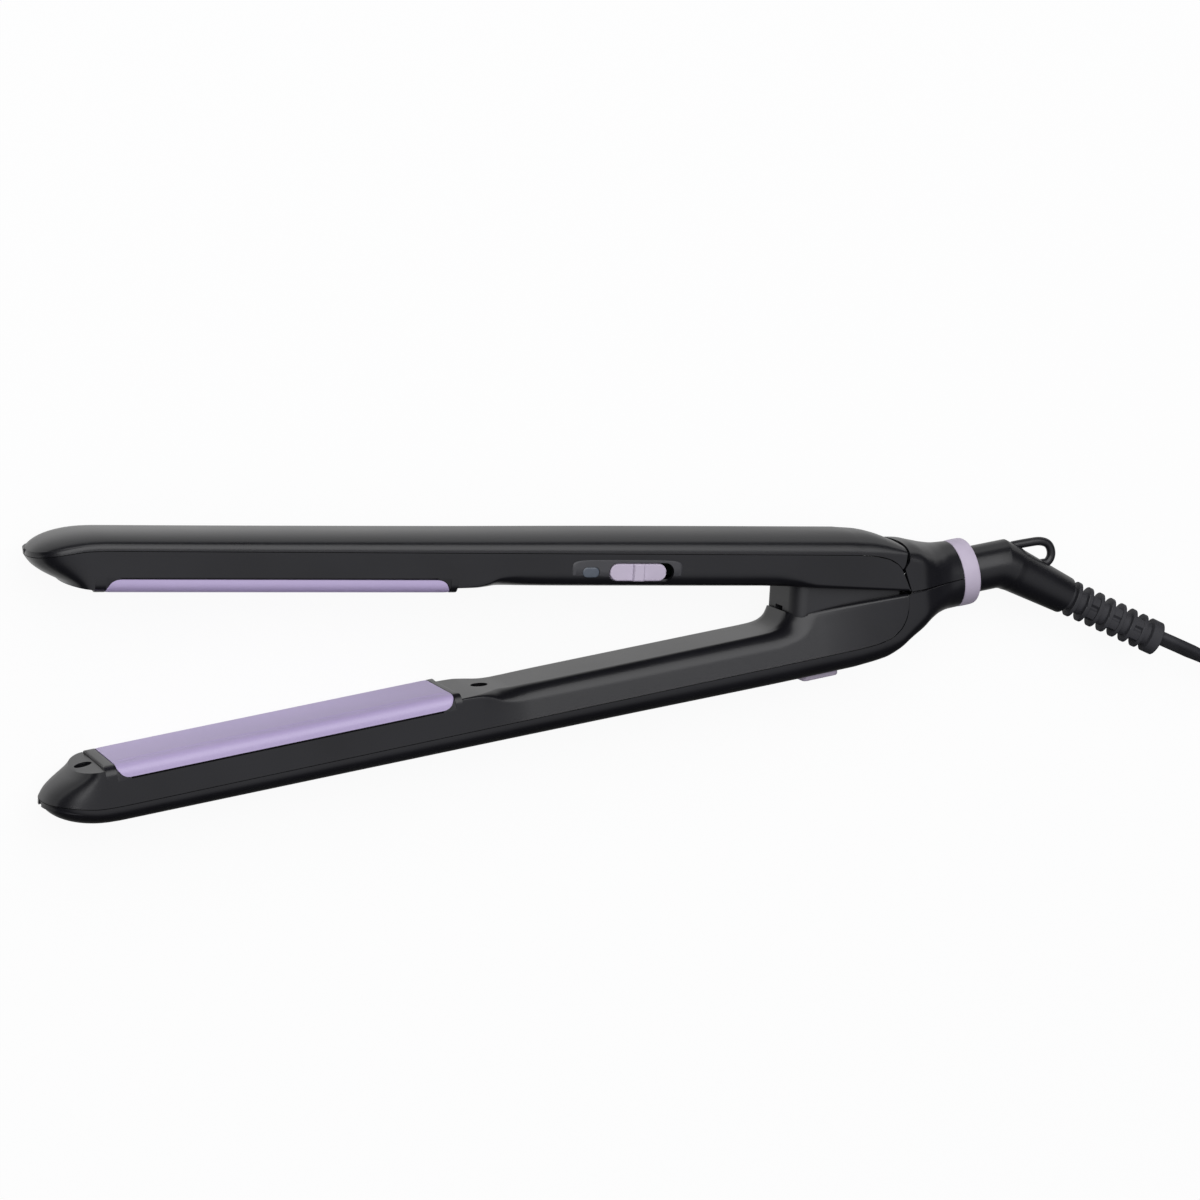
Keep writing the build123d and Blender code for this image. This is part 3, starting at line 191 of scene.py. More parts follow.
# ------------------------------ mains cord
# Flat two-core flex of black rubber, 1.8 m long, moulded into the strain relief. It runs down
# to the table and is put away in a flat two-layer coil beside the hinge end, with a tie.
cord_width = 5.4
cord_thickness = 3.3
cord_lead = [(88.06, -32.42, 14.0), (100.81, -40.21, 14.0), (119.59, -51.67, 3.45), (130.08, -58.07, 3.45)]
cord_tail = [(191.8, -29.8, 9.05), (191.5, -11.8, 8.65), (187.0, 6.2, 6.95), (185.5, 20.2, 6.95)]
coil_centre = (154.8, -29.8)
coil_inner = 21.0
coil_outer = 37.0
low_turn = 3.45
high_turn = 9.05
layer_turns = 4.5
coil_start = 238            # degrees round the coil where the cord comes in
climb_angle = 122           # degrees over which it climbs from the low layer to the high one
per_turn = 16               # points of the coil's line
lead_points = 24            # of the cord's line before it nears the coil
exit_roll = 36              # degrees by which the flex is turned at the strain relief
unroll_start = 100
unroll_length = 25
laid_level = 3.6            # below it the flex lies flat on the table


def smooth(share):
    """Smooth rise from 0 to 1: three squares of the share less two cubes."""
    return share * share * (3 - 2 * share)


def coil_points():
    """Turns of the coil: radius falls evenly with the angle on the low layer, the cord climbs
    at the inner radius, and the radius grows evenly with the angle on the high layer."""
    share = np.linspace(0, 1, int(layer_turns * per_turn) + 1)
    climb = np.linspace(0, 1, 7)[1:-1]
    layer = 360 * layer_turns
    ends = (coil_start, coil_start + layer, coil_start + layer + climb_angle)
    angle = [ends[0] + layer * share, ends[1] + climb_angle * climb, ends[2] + layer * share]
    angle = np.radians(np.concatenate(angle))
    reach = coil_outer - coil_inner
    radius = [coil_outer - reach * share, coil_inner + 0 * climb, coil_inner + reach * share]
    radius = np.concatenate(radius)
    rise = low_turn + (high_turn - low_turn) * smooth(climb)
    level = [low_turn + 0 * share, rise, high_turn + 0 * share]
    east = coil_centre[0] + radius * np.cos(angle)
    north = coil_centre[1] + radius * np.sin(angle)
    return np.column_stack([east, north, np.concatenate(level)])


def spline_line(points):
    """Points read from a smooth quadratic spline whose control points are given in mm."""
    curve = bpy.data.curves.new("cord route", "CURVE")
    curve.dimensions = "3D"
    curve.resolution_u = 6
    spline = curve.splines.new("NURBS")
    spline.points.add(len(points) - 1)
    weights = np.ones((len(points), 1))
    spline.points.foreach_set("co", np.hstack([points * 0.001, weights]).ravel())
    spline.order_u = 3
    spline.use_endpoint_u = True
    holder = placed("cord route", curve)
    bpy.context.view_layer.update()
    read = bpy.data.meshes.new_from_object(holder)
    line = np.zeros(len(read.vertices) * 3)
    read.vertices.foreach_get("co", line)
    bpy.data.objects.remove(holder)
    return line.reshape(-1, 3) * 1000


def piece(name, *grids, wall=0.0, sharp=32, cutters=()):
    """Object made of grids of points in mm. Rows and columns of a grid are the two parameters of
    its surface, each cell is a face, and points that fall together are welded. The faces turn
    outward: the sum of their areas times their distance from the middle is positive."""
    points = []
    faces = []
    count = 0
    for grid in grids:
        rows, columns = grid.shape[:2]
        number = count + np.arange(rows * columns).reshape(rows, columns)
        cells = np.stack([number[:-1, :-1], number[1:, :-1], number[1:, 1:], number[:-1, 1:]], -1)
        first = grid[1:, 1:] - grid[:-1, :-1]
        second = grid[:-1, 1:] - grid[1:, :-1]
        middle = (grid[:-1, :-1] + grid[1:, 1:]) / 2
        size = np.sum(np.cross(first, second) * (middle - grid.mean((0, 1))))
        cells = cells.reshape(-1, 4)
        faces.append(cells if size > 0 else cells[:, ::-1])
        points.append(grid.reshape(-1, 3))
        count += rows * columns
    mesh = bpy.data.meshes.new(name)
    mesh.from_pydata((np.concatenate(points) * 0.001).tolist(), [], np.concatenate(faces).tolist())
    made = bmesh.new()
    made.from_mesh(mesh)
    bmesh.ops.remove_doubles(made, verts=made.verts, dist=2e-6)
    bmesh.ops.dissolve_degenerate(made, edges=made.edges, dist=1e-7)
    if all(len(edge.link_faces) == 2 for edge in made.edges):
        bmesh.ops.recalc_face_normals(made, faces=made.faces)
    made.to_mesh(mesh)
    made.free()
    body = placed(name, mesh)
    if wall:
        shell = body.modifiers.new("wall", "SOLIDIFY")
        shell.thickness = wall * 0.001
        shell.offset = -1
    for cutter in cutters:
        cut = body.modifiers.new("opening", "BOOLEAN")
        cut.operation = "DIFFERENCE"
        cut.solver = "EXACT"
        cut.use_self = True
        cut.object = cutter
    if wall or cutters:
        bpy.context.view_layer.update()
        seen_from = bpy.context.evaluated_depsgraph_get()
        body.data = bpy.data.meshes.new_from_object(body.evaluated_get(seen_from))
        body.data.name = name
        body.modifiers.clear()
    for cutter in cutters:
        bpy.data.objects.remove(cutter)
    flags = np.ones(len(body.data.polygons), bool)
    body.data.polygons.foreach_set("use_smooth", flags)
    body.data.set_sharp_from_angle(angle=np.radians(sharp))
    return body


def along(line, across, up, roll=0.0):
    """Tube round a line: each ring is the line's point plus two unit vectors square to it, the
    level one times across and the upright one times up, the ring's two rows of numbers. Both
    are turned about the line by roll, one angle or one for each point."""
    ahead = np.gradient(line, axis=0)
    ahead /= np.linalg.norm(ahead, axis=1, keepdims=True)
    flat_side = np.cross(ahead, (0, 0, 1))
    flat_side /= np.linalg.norm(flat_side, axis=1, keepdims=True)
    steep_side = np.cross(flat_side, ahead)
    roll = np.broadcast_to(roll, len(line))[:, None]
    level = flat_side * np.cos(roll) + steep_side * np.sin(roll)
    upright = steep_side * np.cos(roll) - flat_side * np.sin(roll)
    return line[:, None] + level[:, None] * across[:, None] + upright[:, None] * up[:, None]


def capped(grid):
    """Grid with both its end rows closed to their middles."""
    ends = [np.repeat(row.mean(0)[None], grid.shape[1], 0)[None] for row in (grid[0], grid[-1])]
    return np.concatenate([ends[0], grid, ends[1]])


def sweep(count, turns=1):
    """Angles evenly spaced from 0 over so many turns."""
    return np.linspace(0, 2 * np.pi * turns, count)


cord_line = spline_line(np.vstack([cord_lead, coil_points(), cord_tail[1:]]))
# the line is read four times as fine where it bends with the swivel
order = np.arange(len(cord_line))
finer = np.linspace(0, lead_points, 4 * lead_points, endpoint=False)
finer = np.concatenate([finer, order[lead_points:]])
cord_line = np.column_stack([np.interp(finer, order, axis) for axis in cord_line.T])
unrolled = np.clip((cord_line[:, 0] - unroll_start) / unroll_length, 0, 1)
unrolled = np.maximum.accumulate(unrolled + (cord_line[:, 2] < laid_level))
cord_roll = np.radians(exit_roll) * (1 - np.minimum(unrolled, 1)) ** 2

# section: half the thickness times the cosine, drawn in a little between the two cores, and a
# half circle at each edge, held apart by the flat part
flat = (cord_width - cord_thickness) / 2
waist = 0.12
around = sweep(25)
cord_across = np.cos(around) * (cord_thickness / 2 - waist * np.cos(around) ** 4)
cord_up = np.sin(around) * cord_thickness / 2 + flat * np.tanh(4 * np.sin(around))
cord = piece("cord", capped(along(cord_line, cord_across, cord_up, cord_roll)))


class Finish(Shading):
    """A material with one shader, fed by patterns on the object's own coordinates."""

    def __init__(self, name, **fixed):
        super().__init__(bpy.data.materials.new(name))
        self.place = self.node("ShaderNodeTexCoord", "Object", {}, {})
        self.shader = self.tree.nodes.new("ShaderNodeBsdfPrincipled")
        shaded = Signal(self.tree, self.shader.outputs[0])
        self.node("ShaderNodeOutputMaterial", 0, {}, {"Surface": shaded})
        for socket, value in fixed.items():
            self.shader.inputs[socket.replace("_", " ")].default_value = value

    def noise(self, scale, detail=2.0, stretch=(1.0, 1.0, 1.0)):
        """Cloudy pattern, so many patches to the metre, stretched along an axis."""
        drawn = self.node("ShaderNodeMapping", 0, {}, {"Vector": self.place, "Scale": stretch})
        sockets = {"Vector": drawn, "Scale": scale, "Detail": detail}
        return self.node("ShaderNodeTexNoise", 0, {}, sockets)

    def cells(self, scale):
        """Rounded grains, so many to the metre: distance to the nearest of scattered points."""
        return self.node("ShaderNodeTexVoronoi", 0, {}, {"Vector": self.place, "Scale": scale})

    def feed(self, **links):
        """Joins patterns or colours to the shader's sockets of those names."""
        for socket, value in links.items():
            self.tree.links.new(value.socket, self.shader.inputs[socket.replace("_", " ")])

    def mottled(self, pattern, first, second, rough, spread):
        """Colour that goes from first to second with a pattern, and roughness that grows with
        it by up to spread."""
        self.feed(Base_Color=self.mixed(pattern, first, second), Roughness=rough + spread * pattern)

    def raised(self, height, depth, strength=1.0):
        """Bump whose full height is depth metres."""
        sockets = {"Height": height, "Distance": depth, "Strength": strength}
        self.feed(Normal=self.node("ShaderNodeBump", 0, {}, sockets))


def dress(thing, finish):
    """Gives a new piece or a CAD node its material."""
    if thing.material_slots:
        for place in thing.material_slots:
            place.material = finish.owner
    else:
        thing.data.materials.append(finish.owner)


rubber = Finish("black rubber flex", Specular_IOR_Level=0.45)
patches = rubber.noise(90, 3)
dust = rubber.noise(2200, 2)
shade = rubber.mixed(patches.step(0.3, 0.7), (0.024, 0.024, 0.028), (0.034, 0.034, 0.039))
rubber.feed(Base_Color=shade)
rubber.feed(Roughness=0.38 + 0.14 * patches + 0.06 * dust)
rubber.raised(dust, 0.00004, 0.5)
dress(cord, rubber)
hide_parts("cord_lead", "cord_coil", "cord_tail")
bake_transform(cord)

# ------------------------------ plug and coil tie
# Flat two-pin plug of the same rubber, moulded on the flex, with nickelled brass pins. A soft
# strap goes round the coil.
plug_start = np.array(cord_tail[3])
plug_axis = np.array([-0.1065, 0.9943, 0.0])
plug_side = np.array([0.9943, 0.1065, 0.0])
plug_stations = np.array([0.0, 0.6, 6.0, 12.0, 19.25, 30.0, 34.2, 35.0])
plug_halves = np.array([6.6, 7.5, 9.6, 12.9, 17.65, 17.65, 17.5, 16.9])
plug_heights = np.array([3.7, 4.5, 5.0, 5.6, 6.85, 6.85, 6.7, 6.1])
grip_depth = 0.22
grip_pitch = 3.0
grip_middle = 11
grip_reach = 7


def eased(places, values, at):
    """Smooth curve through stations: cubic pieces whose slope at a station is the harmonic mean
    of both sides, and none where the stations turn back, so that it never runs past them."""
    places = np.asarray(places, float)
    values = np.asarray(values, float)
    steps = np.diff(values) / np.diff(places)
    product = steps[1:] * steps[:-1]
    middle = np.where(product > 0, 2 * product / (steps[1:] + steps[:-1] + 1e-12), 0)
    slopes = np.concatenate([steps[:1], middle, steps[-1:]])
    at = np.clip(at, places[0], places[-1])
    k = np.clip(np.searchsorted(places, at) - 1, 0, len(steps) - 1)
    gap = places[k + 1] - places[k]
    t = (at - places[k]) / gap
    ends = values[k] * (1 + 2 * t) * (1 - t) ** 2 + values[k + 1] * t * t * (3 - 2 * t)
    return ends + gap * (slopes[k] * t * (1 - t) ** 2 - slopes[k + 1] * t * t * (1 - t))


def rounded(angle, power):
    """Point of a superellipse at each angle: cosine and sine to the power 2 / power, with their
    signs."""
    share = 2.0 / power
    return [np.sign(part) * np.abs(part) ** share for part in (np.cos(angle), np.sin(angle))]


def plug_skin():
    """Rounded rectangles along the plug's axis whose halves follow the stations, with shallow
    grip ridges, a sine along the axis, over the tapered part."""
    run = np.linspace(0, plug_stations[-1], 120)
    angle = sweep(73)
    half = eased(plug_stations, plug_halves, run)[:, None]
    height = eased(plug_stations, plug_heights, run)[:, None]
    fade = np.clip(1 - np.abs(run - grip_middle) / grip_reach, 0, 1) ** 0.5
    grip = (grip_depth * np.sin(run * 2 * np.pi / grip_pitch) * fade)[:, None]
    side, up = rounded(angle, 3.6)
    level = plug_start + plug_axis * run[:, None]
    spread = plug_side * ((half + grip) * side)[..., None]
    lift = np.array([0, 0, 1.0]) * ((height + 0.4 * grip) * up)[..., None]
    return level[:, None] + spread + lift


plug = piece("plug", capped(plug_skin()))
dress(plug, rubber)
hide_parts("plug_body")
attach(plug, "lower_arm")

nickel = Finish("nickelled metal", Metallic=1.0)
nickel.mottled(nickel.noise(300, 3, (1, 1, 0.2)), (0.62, 0.60, 0.56), (0.72, 0.70, 0.66), 0.22, 0.2)
dress(nodes["plug_pins"], nickel)

tie_angle = np.radians(150)
tie_width = 9.0
tie_thick = 0.7
tie_low = 0.35
tie_high = 12.15
tie_inner = 18.7
tie_outer = 38.9


def tie_band():
    """Closed strap: a superellipse round the turns' section, carried across its width, with the
    inside a thickness within the outside and both edges joined."""
    angle = sweep(97)
    side, up = rounded(angle, 9)
    loops = []
    for inset, across in ((0, -0.5), (0, 0.5), (1, 0.5), (1, -0.5), (0, -0.5)):
        grown = tie_thick / 2 - inset * tie_thick
        out = (tie_inner + tie_outer) / 2 + side * ((tie_outer - tie_inner) / 2 + grown)
        level = (tie_low + tie_high) / 2 + up * ((tie_high - tie_low) / 2 + grown)
        shift = across * tie_width
        east = coil_centre[0] + out * np.cos(tie_angle) - shift * np.sin(tie_angle)
        north = coil_centre[1] + out * np.sin(tie_angle) + shift * np.cos(tie_angle)
        loops.append(np.column_stack([east, north, level]))
    return np.array(loops)


tie = piece("coil_strap", tie_band())
strap = Finish("woven strap", Sheen_Weight=0.3)
strap.mottled(strap.noise(3000, 3), (0.012, 0.012, 0.014), (0.03, 0.03, 0.034), 0.8, 0.15)
strap.raised(strap.cells(1600), 0.0001, 0.6)
dress(tie, strap)
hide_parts("coil_tie")
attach(tie, "lower_arm")

# ------------------------------ the arms' covers
# Long hollow covers of satin black polyamide, injection moulded with a fine grain. Each is the
# back of its arm, screwed to the housing from the plate's side. The lower one carries on as the
# under half of the neck.
arm_width = 28.0
half_width = arm_width / 2
open_angle = np.radians(10.84)
nose_tip = -270.7
nose_bend = -250.5          # where the back starts to fall to the tip
nose_plan = -254.1          # where the sides start to close in
nose_level = 9.2
plan_power = 2.6            # of the nose seen square to the plates
cover_wall = 1.5
cover_power = 2.5           # of the covers' crown
seam_gap = 0.09             # each side of the line between cover and housing
seam_groove = 0.3           # how far the covers' feet are drawn in
back_end = -22              # where the level back ends
panel_end = -3.9            # where the lower housing's side ends
neck_end = 17.0
neck_axis = 1.57
parting_stations = (
    (-270.7, -268, -264, -260, -256.7, -252, -246, 0),
    (9.2, 9.7, 10.6, 11.45, 12.0, 12.25, 12.3, 12.3),
)


def lower_place(x, u, w):
    """Lower arm: x along it, u out from the hinge plane, so that its back faces away from +Y."""
    return np.stack(np.broadcast_arrays(x, -u, w), -1)


def upper_place(x, u, w):
    """Upper arm: the same, mirrored in the hinge plane and turned open about the hinge."""
    c, s = np.cos(open_angle), np.sin(open_angle)
    return np.stack(np.broadcast_arrays(x * c + u * s, u * c - x * s, w), -1)


def parting(x):
    """Height of the line between housing and cover: level, and falling to the tip."""
    return eased(*parting_stations, x)


def nose_outline(angle):
    """Plan of the nose: a superellipse with the nose's length and half the arm's width."""
    side, ahead = rounded(angle, plan_power)
    return nose_plan + (nose_tip - nose_plan) * ahead, half_width * side


def back_height(heights, x):
    """Height of the back: eased between stations, and a quarter ellipse over the nose."""
    level = eased(*heights, x)
    share = np.clip((nose_bend - x) / (nose_bend - nose_tip), 0, 1)
    return nose_level + (level - nose_level) * np.sqrt(1 - share**2)


def arched(foot, crest, half, spring, power, sides=7, lean=1):
    """Cover's skin, a row for each foot. A row rises straight from its foot for a share, spring,
    of its height, and closes over in half a superellipse of the given power whose top is the
    crest: |across / half| ** power + |rise| ** power = 1. Along the arm it goes from foot to
    crest as 1 - (1 - height share) ** lean. The foot is turned in as a fine groove."""
    angle = sweep(57, 1 / 2)
    power = np.broadcast_to(power, half.shape)[:, None]
    side = np.sign(np.cos(angle)) * np.abs(np.cos(angle)) ** (2 / power)
    rise = np.abs(np.sin(angle)) ** (2 / power)
    spring = np.broadcast_to(spring, half.shape)[:, None]
    up = np.linspace(0, 1, sides)[None, :-1] * spring
    tau = np.concatenate([0 * spring, up, spring + (1 - spring) * rise, up[:, ::-1], 0 * spring], 1)
    ones = np.ones_like(up)
    across = np.concatenate([ones[:, :1], ones, side, -ones, -ones[:, :1]], 1)
    drawn = np.ones(tau.shape[1])
    drawn[[0, -1]] = 1 - seam_groove / half_width
    tau[:, [1, -2]] = np.minimum(0.02, 0.5 * tau[:, [2, -3]])
    across = half_width + half[:, None] * across * drawn
    x = foot[0][:, None] + (crest[0] - foot[0])[:, None] * (1 - (1 - tau) ** lean)
    u = foot[1][:, None] + (crest[1] - foot[1])[:, None] * tau
    return x, u, across


def spaced(*runs):
    """Places evenly spaced over each run of start, end and count, joined end to end."""
    return np.unique(np.concatenate([np.linspace(*run) for run in runs]))


nose_x, nose_half = nose_outline(np.linspace(np.pi / 2, 0, 30))
plain_x = np.linspace(nose_plan, back_end, 80)[1:]
arm_x = np.concatenate([nose_x, plain_x])
upper_heights = ((-274.7, -250, -150.8, -100.5, 0), (17.1, 17.15, 17.7, 18.2, 18.75))
lower_heights = ((-274.7, -250, -150.8, -100.5, -40, -22), (18.2, 18.3, 18.75, 19.1, 19.6, 19.55))


def cover_skin(heights, rear, half, turn_u, power, lean=1):
    """Rows of the nose and the level back, then the rear rows, whose feet and crests are the
    four rows of rear. A row rises straight to the height turn_u, and then closes over."""
    foot_x, foot_u, crest_x, crest_u = rear
    foot_x = np.concatenate([arm_x, foot_x])
    foot_u = np.concatenate([parting(arm_x), foot_u]) + seam_gap
    crest_x = np.concatenate([arm_x, crest_x])
    crest_u = np.maximum(np.concatenate([back_height(heights, arm_x), crest_u]), foot_u)
    half = np.concatenate([nose_half, np.full(len(plain_x), half_width), half])
    turn_u = np.concatenate([foot_u[:len(arm_x)], turn_u])
    spring = np.clip((turn_u - foot_u) / (crest_u - foot_u + 1e-9), 0, 1)
    power = np.concatenate([np.full(len(arm_x), cover_power), power])
    return arched((foot_x, foot_u), (crest_x, crest_u), half, spring, power, lean=lean)


# upper cover: its last rows lean, from the curved end of the panel to the slanted cut
rear_share = np.linspace(0, 1, 18)[1:]
ones = np.ones(len(rear_share))
rear_foot_x = back_end + 15.16 * np.sin(rear_share * np.pi / 2) ** 0.9
rear_foot_u = eased((-22, -16, -11.5, -8.5, -6.84), (12.3, 12.0, 11.1, 9.6, 7.92), rear_foot_x)
rear_crest_x = eased((0, 0.35, 0.7, 1), (-22, -15.2, -9.6, -5.65), rear_share)
rear_crest_u = eased(
    (-22, -16, -12, -8.6, -6.6, -5.65),
    (18.57, 18.3, 17.65, 16.6, 15.85, 15.4),
    rear_crest_x,
)
rear = (rear_foot_x, rear_foot_u, rear_crest_x, rear_crest_u)
skin = cover_skin(upper_heights, rear, half_width * ones, 12.3 * ones, cover_power * ones, lean=5)
upper_cover = piece("upper_cover_shell", upper_place(*skin), wall=cover_wall)

# lower cover with the under half of the neck: its feet follow the panel's end, then the seam
neck_x = spaced((back_end, panel_end, 26), (panel_end, neck_end, 24))[1:]
neck_low = eased(
    (-22, -16, -11.5, -7.9, -5.6, -4.3, -3.9, -2.9, 17.0),
    (12.3, 12.0, 11.1, 9.0, 6.1, 2.4, -1.0, -neck_axis, -neck_axis),
    neck_x,
)
neck_deep = eased(
    (-22, -12, -6.8, -2.9, 1.5, 5.0, 9.0, 13.0, 17.0),
    (19.55, 18.8, 16.9, 14.7, 12.6, 10.55, 9.15, 8.65, 8.72),
    neck_x,
)
neck_half = eased((-22, -2.9, 1.5, 5.0, 9.0, 13.0, 17.0), (14.0, 14.0, 13.9, 13.0, 11.6, 10.6, 10.27), neck_x)
neck_power = eased((-22, 0, 17.0), (2.5, 2.4, 2.0), neck_x)
neck_turn = eased((-22, -8, -2.9, 4.0, 17.0), (12.3, 11.0, 8.0, 3.5, -neck_axis), neck_x)
rear = (neck_x, neck_low, neck_x, neck_deep)
skin = cover_skin(lower_heights, rear, neck_half, neck_turn, neck_power)
lower_cover = piece("lower_cover_shell", lower_place(*skin), wall=cover_wall)

satin = Finish("satin black polyamide", Specular_IOR_Level=0.47)
mottle = satin.noise(35, 3)
grain = satin.cells(2600)
rub = satin.noise(60, 4, (0.15, 1.0, 1.0))
tone = satin.mixed(mottle.step(0.3, 0.7), (0.0068, 0.0068, 0.0086), (0.0096, 0.0096, 0.0120))
satin.feed(Base_Color=satin.mixed(rub.step(0.6, 0.8) * 0.5, tone, (0.016, 0.016, 0.019)))
satin.feed(Roughness=0.23 + 0.08 * mottle + 0.05 * rub)
satin.raised(grain, 0.00003, 0.35)
arms = (("upper", upper_place), ("lower", lower_place))
for side, cover in (("upper", upper_cover), ("lower", lower_cover)):
    dress(cover, satin)
    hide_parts(side + "_cover")
    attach(cover, side + "_arm")

# ------------------------------ upper neck half
# The upper half of the neck, moulded like the covers. It closes the seam from the hinge to the
# trim ring, and its front edge follows the rear edge of the upper arm.
cap_share = np.linspace(0, 1, 40)
cap_front_x = -2.75
cap_crest_front = -1.5
cap_lean = 0.85             # of its front edge, over its height
cap_height = 14.6
cap_blend = 7
cap_foot_x = cap_front_x + (neck_end - cap_front_x) * cap_share
cap_crest_x = cap_crest_front + (neck_end - cap_crest_front) * cap_share
cap_top = eased((-1.5, 1.5, 5.0, 9.0, 13.0, 17.0), (16.1, 15.7, 14.5, 13.1, 12.15, 11.84), cap_crest_x)
cap_half = eased((-2.75, 1.5, 5.0, 9.0, 13.0, 17.0), (14.0, 13.9, 13.0, 11.6, 10.6, 10.27), cap_foot_x)
cap_turn = eased((-2.75, 2.0, 9.0, 17.0), (11.0, 8.5, 4.5, neck_axis), cap_foot_x)
cap_foot_u = np.full(len(cap_share), neck_axis + seam_gap)
cap_spring = np.clip((cap_turn - cap_foot_u) / (cap_top - cap_foot_u), 0, 1)
cap_power = eased((-2.75, 17.0), (2.5, 2.0), cap_foot_x)


def cap_skin():
    """Arched rows as on the covers, whose front rows are drawn to the broken line of the upper
    arm's rear edge, less and less with the distance from it."""
    crest = (cap_crest_x, cap_top)
    x, y, w = arched((cap_foot_x, cap_foot_u), crest, cap_half, cap_spring, cap_power, sides=16)
    edge = np.interp(y, (1.6, 9.07, 11.07, 14.15, 16.3), (-2.8, -4.65, -2.9, -2.05, -1.5))
    straight = cap_front_x + cap_lean * (y - neck_axis) / cap_height
    fade = np.clip(1 - (x - straight) / cap_blend, 0, 1) ** 2
    return np.stack([x + (edge - straight) * fade, y, w], -1)


neck_cap = piece("neck_upper_half", cap_skin(), wall=cover_wall)
dress(neck_cap, satin)
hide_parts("neck_cap")
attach(neck_cap, "lower_arm")

# ------------------------------ the housings
# Plate side of each arm: side panels, the flat nose facet and the flat land behind the plate,
# where the screws go in, and the handle's inner face. Same black polyamide, one moulding each.
window_front = -254.1
window_rear = -148.55
window_edge = 4.995
land_level = 2.2            # of the flat land behind the plate, at the window
facet_length = 6.8
facet_start = 1.5
facet_rise = 0.6
housing_wall = 1.5
screw_places = (-257.3, -138.45)
screw_hole = 2.55           # radius
pocket_half = 11.4
pocket_front = -41.6
pocket_corner = 5.1
switch_u = 6.9
slot_shape = (-92.1, switch_u, 20.6, 5.8)   # opening for the slider: place, length, height
lower_inner = (
    (-148.6, -143.0, -137.0, -131.0, -54.0, -49.0, -46.4, -44.4, -43.2, -42.5, -42.0, -3.9),
    (2.1, 2.15, 2.5, 2.85, 2.85, 2.75, 2.4, 1.5, 0.3, -1.0, -1.9, -1.2),
)
upper_inner = (
    (-148.6, -143.0, -137.0, -131.0, -52.3, -48.5, -39.0, -3.6),
    (2.1, 2.15, 2.35, 2.45, 2.45, 2.4, 2.2, 1.4),
)
upper_top = ((-150, -22, -16, -11.5, -8.5, -6.84, -3.6), (12.3, 12.3, 12.0, 11.1, 9.6, 7.92, 1.45))
lower_top = (
    (-150, -22, -16, -11.5, -7.9, -5.6, -4.3, -3.9),
    (12.3, 12.3, 12.0, 11.1, 9.0, 6.1, 2.4, -1.0),
)
upper_end = -3.6
rim_start = -60
rim_blend = 8
rim_hood = 8.0              # radius of the raised rim's corners
draft_start = -142
draft_end = -4
side_draft = 0.17           # of the lower handle's sides
side_count = 12


def facet_level(x):
    """Nose facet: it rises to the tip as the distance to the power 1.5."""
    return facet_start + facet_rise * np.clip((window_front - x) / 6.9, 0, 1) ** 1.5


def nose_panel():
    """Rows by angle round the nose. Each row runs from the parting outline to the facet's
    elliptical edge, on a curve steep at the outline and hollow at the facet, and then straight
    back over the facet to the window."""
    angle = sweep(41, 1 / 2)[:, None]
    out_x, out_w = nose_outline(angle)
    out_w = half_width + out_w
    out_u = parting(out_x) - seam_gap
    in_x = window_front - facet_length * np.abs(np.sin(angle))
    in_w = half_width + half_width * np.cos(angle)
    in_u = facet_level(in_x)
    share = np.linspace(1, 0, side_count)[None]
    lift = eased((0, 0.126, 0.337, 0.6, 0.842, 1), (0, 0.132, 0.265, 0.456, 0.706, 1), share)
    round_off = np.abs(np.sin(angle)) ** 0.7
    lift = share + (lift - share) * round_off
    x = in_x + (out_x - in_x) * share
    w = in_w + (out_w - in_w) * share
    u = in_u + (out_u - in_u) * lift
    flat = np.linspace(0, 1, 6)[None, 1:]
    flat_x = in_x + (window_front - in_x) * flat
    flat_w = np.broadcast_to(in_w, flat_x.shape)
    flat_u = facet_level(flat_x)
    return [np.concatenate(pair, 1) for pair in ((x, flat_x), (u, flat_u), (w, flat_w))]


def side_strips(place):
    """The side panels beside the plate, straight from the parting line to the window's edge, and
    turned in under it."""
    x = np.linspace(window_front, window_rear, 54)[:, None]
    rise = np.linspace(0, 1, side_count)[None]
    u = parting(x) - seam_gap + (window_edge - parting(x) + seam_gap) * rise
    lip_u = np.full((len(x), 1), window_edge)
    strips = []
    for edge, inward in ((arm_width, -1.8), (0.0, 1.8)):
        w = np.concatenate([np.full_like(u, edge), lip_u * 0 + edge + inward], 1)
        strips.append(place(x, np.concatenate([u, lip_u], 1), w))
    return strips


